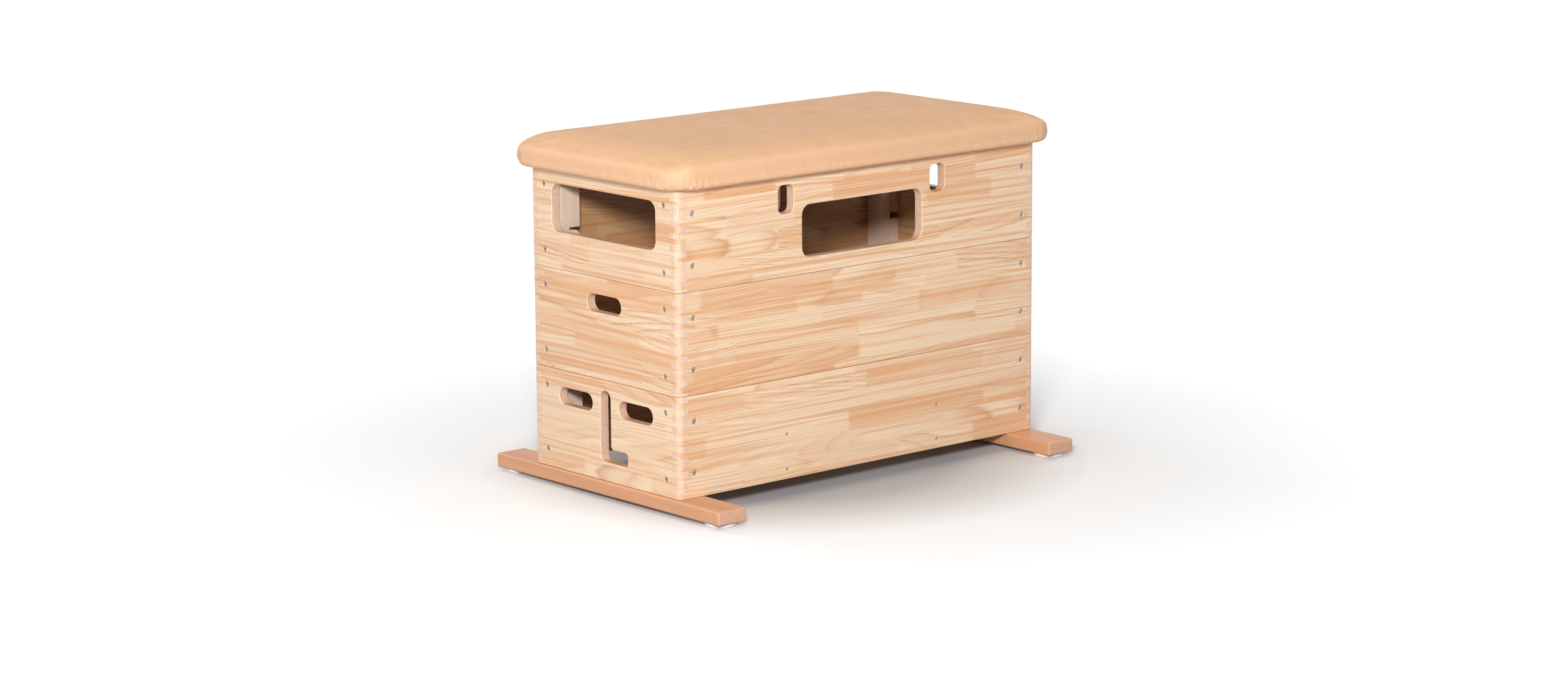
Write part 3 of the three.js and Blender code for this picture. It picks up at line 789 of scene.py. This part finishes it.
def foam_core(form, pad):
    """The foam: a copy of the form, drawn in by the leather and ended at the board below."""
    gap, clearance = 0.0008, 0.0003
    foam = form.copy()
    foam.data = form.data.copy()
    foam.name = "foam_core"
    bpy.context.scene.collection.objects.link(foam)
    floor_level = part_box("pad_board")[1].z + clearance
    normals = [v.normal.copy() for v in foam.data.vertices]
    for vertex, normal in zip(foam.data.vertices, normals):
        vertex.co -= normal * (pad.leather + gap)
        vertex.co.z = max(vertex.co.z, floor_level)
    foam.data.shade_smooth()
    return foam


def open_below(form, pad):
    """Cuts away the underside of the cover further in than the leather is turned under."""
    hair = 0.0005
    size_x, size_y, _ = frame_size()
    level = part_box("pad_cover")[0].z + hair
    reach_x, reach_y = size_x / 2 - pad.turn_under, size_y / 2 - pad.turn_under
    bm = bmesh.new()
    bm.from_mesh(form.data)

    def inner(point):
        return point.z < level and abs(point.x) < reach_x and abs(point.y) < reach_y

    faces = [face for face in bm.faces if all(inner(v.co) for v in face.verts)]
    bmesh.ops.delete(bm, geom=faces, context="FACES")
    bm.to_mesh(form.data)
    bm.free()


# Finishes


# Painted shade: how much of their colour the boards keep on their inner faces, darkening the inside
# of the box
INNER_SHADE_SHARES = (0.68, 0.56, 0.42)


class Wiring:
    """Adds shader nodes to a tree and links their sockets."""

    def __init__(self, tree):
        self.tree = tree
        self.count = 0

    def feed(self, node, feeds):
        """Gives a node its inputs, as pairs of a key and a value or an output to link."""
        for key, value in feeds:
            if isinstance(value, bpy.types.NodeSocket):
                self.tree.links.new(value, node.inputs[key])
            elif value is not None:
                node.inputs[key].default_value = value

    def add(self, kind, feeds=(), **settings):
        """Adds a node. feeds gives its inputs in order or by name."""
        node = self.tree.nodes.new("ShaderNode" + kind)
        column, row = self.count % 12, self.count // 12
        node.location = (column * 180, -row * 260)
        self.count += 1
        for name, value in settings.items():
            setattr(node, name, value)
        self.feed(node, feeds.items() if isinstance(feeds, dict) else enumerate(feeds))
        return node

    def math(self, operation, *values):
        return self.add("Math", values, operation=operation).outputs[0]

    def times(self, *values):
        return self.math("MULTIPLY", *values)

    def plus(self, *values):
        return self.math("ADD", *values)

    def minus(self, *values):
        return self.math("SUBTRACT", *values)

    def vector(self, operation, *values):
        return self.add("VectorMath", values, operation=operation).outputs[0]

    def vector_length(self, vector):
        return self.add("VectorMath", (vector,), operation="LENGTH").outputs["Value"]

    def join(self, x, y, z):
        return self.add("CombineXYZ", (x, y, z)).outputs[0]

    def noise(self, vector, scale, detail=2.0, roughness=0.5):
        feeds = {"Vector": vector, "Scale": scale, "Detail": detail, "Roughness": roughness}
        return self.add("TexNoise", feeds).outputs["Fac"]

    def stretched_noise(self, vector, scales, detail=2.0, roughness=0.5):
        """Noise with a scale of its own along each axis."""
        return self.noise(self.vector("MULTIPLY", vector, scales), 1.0, detail, roughness)

    def here(self, output="Object"):
        """The shaded point's place on its piece, or its normal."""
        return self.add("TexCoord").outputs[output]

    def upward(self, vector):
        return self.add("SeparateXYZ", {"Vector": vector}).outputs["Z"]

    def stored(self, name, output="Fac"):
        """What the mesh stores under a name."""
        return self.add("Attribute", attribute_name=name).outputs[output]

    def random(self, vector):
        """Three random values that stay the same wherever the vector does."""
        made = self.add("TexWhiteNoise", {"Vector": vector}, noise_dimensions="3D")
        return self.add("SeparateColor", {"Color": made.outputs["Color"]}).outputs

    def spread(self, value, low, high, to_low=0.0, to_high=1.0):
        """Maps a value from one span to another and holds it there."""
        feeds = {"Value": value, "From Min": low, "From Max": high}
        return self.add("MapRange", {**feeds, "To Min": to_low, "To Max": to_high}).outputs[0]

    def mix(self, share, first, second, mode="MIX"):
        node = self.add("Mix", {0: share, 6: first, 7: second}, data_type="RGBA", blend_type=mode)
        return node.outputs[2]

    def ramp(self, value, stops):
        node = self.add("ValToRGB", {"Fac": value})
        while len(node.color_ramp.elements) < len(stops):
            node.color_ramp.elements.new(0.5)
        for element, (place, shade) in zip(node.color_ramp.elements, stops):
            element.position = place
            element.color = (shade, shade, shade, 1)
        return node.outputs["Color"]


def group(name, inputs, outputs):
    """A new node group with its sockets, its wiring, and its input and output nodes."""
    tree = bpy.data.node_groups.new(name, "ShaderNodeTree")
    for way, sockets in (("INPUT", inputs), ("OUTPUT", outputs)):
        for label, kind in sockets.items():
            tree.interface.new_socket(label, in_out=way, socket_type="NodeSocket" + kind)
    entry = tree.nodes.new("NodeGroupInput")
    leave = tree.nodes.new("NodeGroupOutput")
    return tree, Wiring(tree), entry.outputs, leave.inputs


def rgba(value, *shares):
    """The colour with its alpha, times one share, or times one for each channel."""
    shares = shares * 3 if len(shares) == 1 else shares or (1, 1, 1)
    return (*(min(channel * share, 1) for channel, share in zip(value, shares)), 1.0)


def fibre_group():
    """Fine lines that run along the grain, and short dark pores."""
    tree, w, given, out = group(
        "Wood fibres", {"Grain": "Vector", "Pore": "Float"}, {"Streak": "Float", "Pores": "Float"}
    )
    grain = given["Grain"]
    fine = w.stretched_noise(grain, (14, 900, 900), 3)
    broad = w.stretched_noise(grain, (4, 260, 260), 2)
    streak = w.plus(w.times(fine, 0.5), w.times(broad, 0.5))
    w.tree.links.new(w.spread(streak, 0.3, 0.7), out["Streak"])
    dash = w.stretched_noise(grain, (90, 1500, 1500), 1)
    pores = w.times(w.spread(dash, 0.66, 0.78), given["Pore"])
    w.tree.links.new(pores, out["Pores"])
    return tree


def stave_group():
    """Splits a board into staves with comb joints, each with its own tone and growth rings."""
    tooth, steepness = 0.0021, 4.6
    row_wander, wander_scale, row_shift = 0.7, 13.0, 9.0
    row_key, first_key, second_key = (3.7, 1.3), 0.5, 7.5
    length_shares, warp_scales = (0.55, 1.5), (1.8, 11, 11)
    core_behind, core_lean, core_beside = (-0.080, 0.040), 0.035, 0.26
    ring_spacing, ring_warp = (0.0013, 0.0036), 0.009
    late_stops = ((0.0, 0.30), (0.12, 0.0), (0.50, 0.05), (0.78, 0.42), (0.93, 1.0), (1.0, 0.30))
    tree, w, given, out = group(
        "Staves and rings",
        {"Grain": "Vector", "Stave Height": "Float", "Stave Length": "Float"},
        {"Tone": "Float", "Strength": "Float", "Ring": "Float", "Glue": "Float"},
    )
    part = w.add("SeparateXYZ", {"Vector": given["Grain"]}).outputs
    along, depth, up = part["X"], part["Y"], part["Z"]
    wander = w.noise(w.join(0.0, 0.0, up), wander_scale, 0)
    level = w.math("DIVIDE", up, given["Stave Height"])
    rows = w.plus(level, w.times(wander, row_wander))
    row = w.math("FLOOR", rows)
    row_random = w.random(w.join(row, *row_key))
    teeth = w.times(w.math("PINGPONG", up, tooth), steepness)
    shifted = w.plus(along, teeth)
    span = w.times(given["Stave Length"], w.spread(row_random[0], 0, 1, *length_shares))
    cells = w.plus(w.math("DIVIDE", shifted, span), w.times(row_random[1], row_shift))
    cell = w.math("FLOOR", cells)
    one = w.random(w.join(row, cell, first_key))
    two = w.random(w.join(row, cell, second_key))
    local = w.times(w.minus(cells, cell), span)
    # Where the middle of the tree lies for this stave
    behind = w.spread(one[0], 0, 1, *core_behind)
    slope = w.spread(one[1], 0, 1, -core_lean, core_lean)
    core_depth = w.plus(behind, w.times(local, slope))
    beside = w.times(w.minus(one[2], 0.5), core_beside)
    slope_up = w.spread(two[0], 0, 1, -core_lean, core_lean)
    core_up = w.plus(beside, w.times(local, slope_up))
    # How many rings lie between it and this point
    middle = w.times(w.plus(row, 0.5), given["Stave Height"])
    away_up = w.minus(w.minus(up, middle), core_up)
    away_depth = w.minus(depth, core_depth)
    own = w.vector("ADD", w.vector("MULTIPLY", given["Grain"], warp_scales), w.join(row, cell, 0))
    warp = w.noise(own, 1.0, 2)
    squares = [w.times(away, away) for away in (away_up, away_depth)]
    radius = w.math("POWER", w.plus(*squares), 0.5)
    warp = w.times(w.minus(warp, 0.5), ring_warp)
    radius = w.plus(radius, warp)
    turns = w.math("DIVIDE", radius, w.spread(two[1], 0, 1, *ring_spacing))
    ring = w.minus(turns, w.math("FLOOR", turns))
    late = w.ramp(ring, late_stops)
    which = w.random(w.join(w.math("FLOOR", turns), row, cell))
    late = w.times(late, w.spread(which[0], 0, 1, 0.3, 1.0))
    warm_stave = w.spread(two[2], 0.58, 1.0, 0.0, 0.70)
    tone = w.plus(warm_stave, w.spread(which[1], 0.6, 1.0, 0.0, 0.35))
    edge = w.math("ABSOLUTE", w.minus(w.minus(rows, row), 0.5))
    for name, value in (
        ("Tone", tone),
        ("Strength", w.spread(one[1], 0, 1, 0.3, 1.0)),
        ("Ring", late),
        ("Glue", w.spread(edge, 0.490, 0.499)),
    ):
        w.tree.links.new(value, out[name])
    return tree


def new_material(name):
    """A material with its shader, and the wiring of its tree."""
    material = bpy.data.materials.new(name)
    material.use_nodes = True
    wiring = Wiring(material.node_tree)
    shader = material.node_tree.nodes["Principled BSDF"]
    return material, wiring, shader


def shade(w, shader, **feeds):
    """Gives the shader its inputs. An underscore stands for a blank in a name."""
    w.feed(shader, ((name.replace("_", " "), value) for name, value in feeds.items()))


def bump(w, height, depth, strength=1.0):
    feeds = {"Strength": strength, "Distance": depth, "Height": height}
    return w.add("Bump", feeds).outputs["Normal"]


def pine_material(colours, staves, fibres):
    material, w, shader = new_material("Varnished pine")
    late = rgba(colours.pine_late)
    grain = w.stored("grain", "Vector")
    cut = w.spread(w.stored("end_grain"), 0.35, 0.8)
    feeds = {"Stave Height": colours.stave_height, "Stave Length": colours.stave_length}
    stave = w.add("Group", {"Grain": grain, **feeds}, node_tree=staves).outputs
    fibre = w.add("Group", {"Grain": grain, "Pore": 0.5}, node_tree=fibres).outputs
    drift = w.stretched_noise(grain, (1.8, 50, 120), 2)
    tone = w.plus(stave["Tone"], w.spread(drift, 0.50, 0.66, 0.0, 0.8))
    tone = w.spread(tone, 0.0, 1.0)
    base = w.mix(tone, rgba(colours.pine_pale), rgba(colours.pine_warm))
    lines = w.times(stave["Ring"], stave["Strength"])
    for mask, share in ((lines, 0.85), (fibre["Streak"], 0.20), (fibre["Pores"], 0.5)):
        base = w.mix(w.times(mask, share), base, late)
    ends = w.mix(w.times(tone, 0.35), rgba(colours.pine_end), rgba(colours.pine_warm))
    ends = w.mix(w.spread(stave["Ring"], 0.05, 0.7, 0.0, 0.85), ends, rgba(colours.pine_arcs))
    base = w.mix(w.times(cut, 0.85), base, ends)
    base = w.mix(w.times(stave["Glue"], 0.18), base, late)
    # Painted shade: the faces that look into the box are darkened
    inside = w.spread(w.stored("inner_face"), 0.8, 1.0)
    base = w.mix(inside, base, rgba(INNER_SHADE_SHARES), "MULTIPLY")
    rough = w.spread(fibre["Streak"], 0, 1, 0.38, 0.50)
    lifted = w.times(fibre["Streak"], 0.6), w.times(stave["Ring"], 0.4)
    normal = bump(w, w.plus(*lifted), 0.00008, 0.6)
    shade(w, shader, Base_Color=base, Roughness=rough, Normal=normal)
    shade(w, shader, Coat_Weight=0.6, Coat_Roughness=0.42)
    return material


def beech_material(name, body, ends, flecks, fibres):
    material, w, shader = new_material(name)
    darker, dark = rgba(body, 0.80), rgba(body, 0.55)
    grain = w.stored("grain", "Vector")
    cut = w.spread(w.stored("end_grain"), 0.35, 0.8)
    fibre = w.add("Group", {"Grain": grain, "Pore": 1.0}, node_tree=fibres).outputs
    cloud = w.stretched_noise(grain, (2.5, 25, 25), 2)
    base = w.mix(w.spread(cloud, 0.3, 0.7), rgba(body), darker)
    dash = w.stretched_noise(grain, (220, 1300, 1300), 1)
    base = w.mix(w.times(w.spread(dash, 0.62, 0.74), flecks), base, dark)
    base = w.mix(w.times(fibre["Streak"], 0.16), base, dark)
    arcs = w.stretched_noise(grain, (3, 40, 260), 2)
    across = w.mix(w.spread(arcs, 0.40, 0.65, 0.0, 0.5), rgba(ends), darker)
    base = w.mix(w.times(cut, 0.85), base, across)
    rough = w.spread(fibre["Streak"], 0, 1, 0.40, 0.52)
    normal = bump(w, fibre["Streak"], 0.00006, 0.6)
    shade(w, shader, Base_Color=base, Roughness=rough, Normal=normal)
    shade(w, shader, Specular_IOR_Level=0.35, Coat_Weight=0.08, Coat_Roughness=0.35)
    return material


def leather_material(colours):
    material, w, shader = new_material("Natural leather")
    pale, deep = rgba(colours.leather, 1.06), rgba(colours.leather, 0.93, 0.86, 0.76)
    # Painted sheen colour for the sides of the pad
    painted_side_sheen = rgba(colours.leather, 0.99, 1.02, 1.12)
    place = w.here()
    broad = w.noise(place, 5.0, 3)
    mottle = w.stretched_noise(place, (30, 30, 12), 4, 0.6)
    base = w.mix(w.spread(broad, 0.35, 0.65), pale, rgba(colours.leather))
    base = w.mix(w.spread(mottle, 0.42, 0.72, 0.0, 0.42), base, deep)
    # Painted sheen: over the sides the leather is made paler and bluer than on top, standing in for
    # the whiter light that the sides catch
    slope = w.upward(w.here("Normal"))
    side_sheen_share = w.spread(w.math("ABSOLUTE", slope), 0.35, 0.9, 0.8, 0.0)
    base = w.mix(side_sheen_share, base, painted_side_sheen)
    feeds = {"Vector": place, "Scale": 900.0, "Randomness": 1.0}
    cells = w.add("TexVoronoi", feeds, feature="DISTANCE_TO_EDGE")
    pebble = w.spread(cells.outputs["Distance"], 0.0, 0.22)
    base = w.mix(w.times(w.minus(1.0, pebble), 0.10), base, deep)
    wrinkle = w.stretched_noise(place, (120, 120, 70), 3)
    height = w.plus(w.times(pebble, 0.4), wrinkle)
    rough = w.spread(mottle, 0.3, 0.7, 0.50, 0.62)
    shade(w, shader, Base_Color=base, Roughness=rough, Normal=bump(w, height, 0.00022, 0.55))
    shade(w, shader, Specular_IOR_Level=0.22)
    return material


def zinc_material(colours):
    material, w, shader = new_material("Zinc plating")
    place = w.here()
    haze = w.noise(place, 900.0, 3)
    base = w.mix(w.spread(haze, 0.35, 0.65), rgba(colours.zinc), rgba(colours.zinc, 0.72))
    rough = w.spread(haze, 0.3, 0.7, 0.28, 0.46)
    shade(w, shader, Base_Color=base, Roughness=rough, Metallic=1.0)
    return material


def plastic_material(colours):
    material, w, shader = new_material("White glide plastic")
    place = w.here()
    cloud = w.noise(place, 60.0, 3)
    base = w.mix(w.spread(cloud, 0.35, 0.65), rgba(colours.glide), rgba(colours.glide, 0.94))
    fine = w.noise(place, 1800.0, 2)
    rough = w.spread(cloud, 0.3, 0.7, 0.36, 0.48)
    shade(w, shader, Base_Color=base, Roughness=rough, Normal=bump(w, fine, 0.00004, 0.5))
    return material


def ply_material(colours, fibres):
    material, w, shader = new_material("Raw plywood")
    ply_thickness = 0.0015
    dark = rgba(colours.ply, 0.68)
    place = w.here()
    fibre = w.add("Group", {"Grain": place, "Pore": 1.0}, node_tree=fibres).outputs
    cloud = w.stretched_noise(place, (4, 22, 22), 3)
    height = w.upward(place)
    layers = w.math("PINGPONG", height, ply_thickness)
    base = w.mix(w.spread(cloud, 0.35, 0.65, 0.0, 0.5), rgba(colours.ply), dark)
    base = w.mix(w.times(fibre["Streak"], 0.2), base, dark)
    side = w.upward(w.here("Normal"))
    side = w.spread(w.math("ABSOLUTE", side), 0.3, 0.6, 1.0, 0.0)
    bands = w.times(w.spread(layers, ply_thickness * 0.4, ply_thickness * 0.6), side)
    base = w.mix(w.times(bands, 0.6), base, dark)
    shade(w, shader, Base_Color=base, Roughness=w.spread(cloud, 0.3, 0.7, 0.6, 0.75))
    return material


def foam_material(colours):
    material, w, shader = new_material("Foam")
    place = w.here()
    cells = w.add("TexVoronoi", {"Vector": place, "Scale": 420.0}).outputs["Distance"]
    base = w.mix(w.spread(cells, 0.0, 0.4), rgba(colours.foam, 0.7), rgba(colours.foam))
    shade(w, shader, Base_Color=base, Roughness=w.spread(cells, 0.0, 0.5, 0.85, 0.95))
    shade(w, shader, Normal=bump(w, cells, 0.0006, 0.8))
    return material


def finishes():
    """All materials by name, made once."""
    if not finishes.made:
        colours = bpy.context.scene.vault_finishes
        fibres, staves = fibre_group(), stave_group()
        pale, red, end = colours.beech_pale, colours.beech_red, colours.beech_end
        finishes.made.update(
            pine=pine_material(colours, staves, fibres),
            pale_beech=beech_material("Pale beech", pale, pale, 0.35, fibres),
            red_beech=beech_material("Red beech", red, end, 0.85, fibres),
            leather=leather_material(colours),
            zinc=zinc_material(colours),
            glide_plastic=plastic_material(colours),
            birch_plywood=ply_material(colours, fibres),
            foam=foam_material(colours),
        )
    return finishes.made


finishes.made = {}


# Stage


WHITE = (1, 1, 1, 1)
LAMPS = {  # width of each square lamp, and its place
    "main": (0.6, (-3.5, -3.6, 2.1)),
    "side": (1.3, (-4.5, 0.6, 1.0)),
    "front": (1.4, (2.2, -4.0, 1.5)),
    "back": (2.0, (-0.8, 4.6, 3.0)),
    "right": (1.6, (4.8, 0.6, 2.6)),
    "top": (2.0, (-0.4, -0.5, 4.4)),
}
LAMP_AIM = (0, 0, 0.4)
CAMERA_PLACE = (-5.07010, -5.79292, 1.77886)
CAMERA_TURNS = (78.79326, 0.32850, -41.19677)  # in degrees


def in_sight(w):
    """1 for rays that the camera sees, also by reflection or through glass, and else 0."""
    path = w.add("LightPath").outputs
    seen = w.math("MAXIMUM", path["Is Camera Ray"], path["Is Transmission Ray"])
    return w.math("MAXIMUM", seen, path["Is Glossy Ray"])


def lay_floor(settings):
    """A floor that takes the shadow near the box, is kept grey there as painted shade, and turns to
    plain white further out.
    """
    half_width, glow_strength = 40, 1.15
    pale_from, pale_to, glow_from, glow_to = 0.32, 0.62, 0.45, 1.6
    bm = bmesh.new()
    bmesh.ops.create_grid(bm, x_segments=1, y_segments=1, size=half_width)
    floor = mesh_object("floor", bm)
    material, w, shader = new_material("Pale floor")
    seen = in_sight(w)
    away = w.vector_length(w.here())
    # Painted shade: near and under the box the camera sees the floor grey, further out white
    pale = w.times(seen, w.spread(away, pale_from, pale_to))
    base = w.mix(pale, rgba(settings.floor), WHITE)
    shade(w, shader, Base_Color=base, Roughness=0.9, Specular_IOR_Level=0.1)
    glow = w.add("Emission", {"Color": WHITE, "Strength": glow_strength}).outputs[0]
    share = w.times(seen, w.spread(away, glow_from, glow_to))
    both = w.add("MixShader", {0: share, 1: shader.outputs[0], 2: glow})
    w.tree.links.new(both.outputs[0], w.tree.nodes["Material Output"].inputs[0])
    floor.data.materials.append(material)


def studio_world(settings):
    """A world that looks white and gives the even light from all round."""
    world = bpy.data.worlds.new("Studio")
    world.use_nodes = True
    w = Wiring(world.node_tree)
    beyond_sky = w.times(in_sight(w), 1.0 - settings.sky)
    feeds = {"Color": WHITE, "Strength": w.plus(settings.sky, beyond_sky)}
    w.feed(world.node_tree.nodes["Background"], feeds.items())
    return world


def hang_lamps(settings):
    for name, (width, place) in LAMPS.items():
        light = bpy.data.lights.new(name, "AREA")
        light.energy = getattr(settings, name)
        light.shape = "RECTANGLE"
        light.size = light.size_y = width
        lamp = bpy.data.objects.new(name, light)
        lamp.location = place
        lamp.rotation_mode = "QUATERNION"
        lamp.rotation_quaternion = (Vector(LAMP_AIM) - Vector(place)).to_track_quat("-Z", "Y")
        bpy.context.scene.collection.objects.link(lamp)


def set_camera(settings):
    camera = bpy.data.objects.new("camera", bpy.data.cameras.new("camera"))
    camera.data.lens = settings.lens
    camera.data.sensor_fit = "HORIZONTAL"
    camera.data.sensor_width = 36
    camera.data.clip_start, camera.data.clip_end = 0.1, 200
    camera.location = CAMERA_PLACE
    camera.rotation_euler = [math.radians(turn) for turn in CAMERA_TURNS]
    bpy.context.scene.collection.objects.link(camera)
    bpy.context.scene.camera = camera


# Operators


class VAULT_OT_boards(bpy.types.Operator):
    """Build the twelve finger-jointed boards of the three frames"""

    bl_idname = "vault.boards"
    bl_label = "Build boards"

    def execute(self, context):
        scene = context.scene
        index = BOARD_CUT
        for section in SECTIONS:
            for face in FACES:
                index += 1
                board = make_board(section, face, index, scene.vault_boards, scene.vault_fittings)
                if not board.data.polygons:
                    raise RuntimeError(f"the board {board.name} came out empty")
                node = f"{section}_{face}_board"
                finish_piece(board, finishes()["pine"], f"{section}_section", (node,))
        return {"FINISHED"}


class VAULT_OT_posts(bpy.types.Operator):
    """Build the twelve corner posts with their tongues"""

    bl_idname = "vault.posts"
    bl_label = "Build posts"

    def execute(self, context):
        index = POST_CUT
        for section in SECTIONS:
            for corner in CORNERS:
                index += 1
                post, node = make_post(section, corner, index, context.scene.vault_posts)
                beech = finishes()["pale_beech"]
                finish_piece(post, beech, f"{section}_section", (node,))
        return {"FINISHED"}


class VAULT_OT_screws(bpy.types.Operator):
    """Fit the frame screws, the runner screws, the glide screws and the screws under the pad"""

    bl_idname = "vault.screws"
    bl_label = "Fit screws"

    def execute(self, context):
        sizes = context.scene.vault_fittings
        zinc = finishes()["zinc"]
        lengths = sizes.head, sizes.shank, sizes.screw_length, sizes.head_sink
        mesh = screw_mesh("frame_screw", *lengths)
        spin, spin_step, shank_share = 0, 37, 0.48
        for section in SECTIONS:
            for count, (_, place, direction, node) in enumerate(frame_screws(section, sizes)):
                spin += spin_step
                screw = fit_screw(f"{section}_frame_screw_{count}", mesh, place, direction, spin)
                finish_piece(screw, zinc, f"{section}_section", (node,) if node else ())
        kinds = {"runner": (1, "bottom"), "glide": (1, "bottom"), "pad": (-1, "top")}
        for kind, (way, section) in kinds.items():
            for corner in CORNERS:
                spin += spin_step
                node = f"{kind}_screw_{corner}"
                low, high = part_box(node)
                direction = Vector((0, 0, way))
                place, reach = node_screw(node, direction)
                head = high.x - low.x
                shape = screw_mesh(f"{node}_shape", head, head * shank_share, reach, 0)
                screw = fit_screw(f"{kind}_fixing_{corner}", shape, place, direction, spin)
                finish_piece(screw, zinc, f"{section}_section", (node,))
        return {"FINISHED"}


class VAULT_OT_runners(bpy.types.Operator):
    """Build the two runners and the four round glides under them"""

    bl_idname = "vault.runners"
    bl_label = "Build runners"

    def execute(self, context):
        sizes = context.scene.vault_fittings
        for index, side in enumerate(("left", "right")):
            runner, node = make_runner(side, RUNNER_CUT + index, sizes)
            finish_piece(runner, finishes()["red_beech"], "bottom_section", (node,))
        plastic = finishes()["glide_plastic"]
        for corner in CORNERS:
            glide, node = make_glide(corner, sizes)
            finish_piece(glide, plastic, "bottom_section", (node,))
        return {"FINISHED"}


class VAULT_OT_pad(bpy.types.Operator):
    """Stuff the padded top and cover it with leather"""

    bl_idname = "vault.pad"
    bl_label = "Build padded top"

    def execute(self, context):
        pad = context.scene.vault_pad
        form = swollen_pad(pad)
        form.name = "leather_cover"
        foam = foam_core(form, pad)
        finish_piece(foam, finishes()["foam"], "top_section", ("pad_foam",))
        open_below(form, pad)
        form.vertex_groups.clear()
        finer = form.modifiers.new("finer mesh", "SUBSURF")
        finer.levels = finer.render_levels = 1
        settle(form)
        pucker(form, pad)
        form.data.shade_smooth()
        shell = form.modifiers.new("leather thickness", "SOLIDIFY")
        shell.thickness = pad.leather
        shell.offset = -1
        finish_piece(form, finishes()["leather"], "top_section", ("pad_cover",))
        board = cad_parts["pad_board"]
        board.data.materials.clear()
        board.data.materials.append(finishes()["birch_plywood"])
        return {"FINISHED"}


class VAULT_OT_stage(bpy.types.Operator):
    """Lay the pale floor and set the lights and the camera"""

    bl_idname = "vault.stage"
    bl_label = "Set stage"

    def execute(self, context):
        scene = context.scene
        lay_floor(scene.vault_stage)
        scene.world = studio_world(scene.vault_stage)
        hang_lamps(scene.vault_stage)
        set_camera(scene.vault_stage)
        scene.view_settings.view_transform = "Standard"
        return {"FINISHED"}


OPERATORS = (
    VAULT_OT_boards,
    VAULT_OT_posts,
    VAULT_OT_screws,
    VAULT_OT_runners,
    VAULT_OT_pad,
    VAULT_OT_stage,
)
GROUPS = {
    "vault_boards": BoardSizes,
    "vault_posts": PostSizes,
    "vault_fittings": FittingSizes,
    "vault_pad": PadSizes,
    "vault_finishes": Finishes,
    "vault_stage": StageSettings,
}


class VAULT_PT_panel(bpy.types.Panel):
    """Sizes, colours and building steps of the vaulting box"""

    bl_idname = "VAULT_PT_panel"
    bl_label = "Vaulting Box"
    bl_space_type = "VIEW_3D"
    bl_region_type = "UI"
    bl_category = "Vaulting Box"

    def draw(self, context):
        layout = self.layout
        for name, kind in GROUPS.items():
            box = layout.box()
            box.label(text=kind.__doc__)
            settings = getattr(context.scene, name)
            for prop in kind.__annotations__:
                box.prop(settings, prop)
        for operator in OPERATORS:
            layout.operator(operator.bl_idname)


def register():
    for kind in (*GROUPS.values(), *OPERATORS, VAULT_PT_panel):
        bpy.utils.register_class(kind)
    for name, kind in GROUPS.items():
        setattr(bpy.types.Scene, name, PointerProperty(type=kind))


def unregister():
    for name in GROUPS:
        delattr(bpy.types.Scene, name)
    for kind in reversed((*GROUPS.values(), *OPERATORS, VAULT_PT_panel)):
        bpy.utils.unregister_class(kind)


def main():
    """Builds the whole box."""
    register()
    for step in ("stage", "boards", "posts", "screws", "runners", "pad"):
        getattr(bpy.ops.vault, step)()
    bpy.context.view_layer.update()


if __name__ == "__main__":
    main()
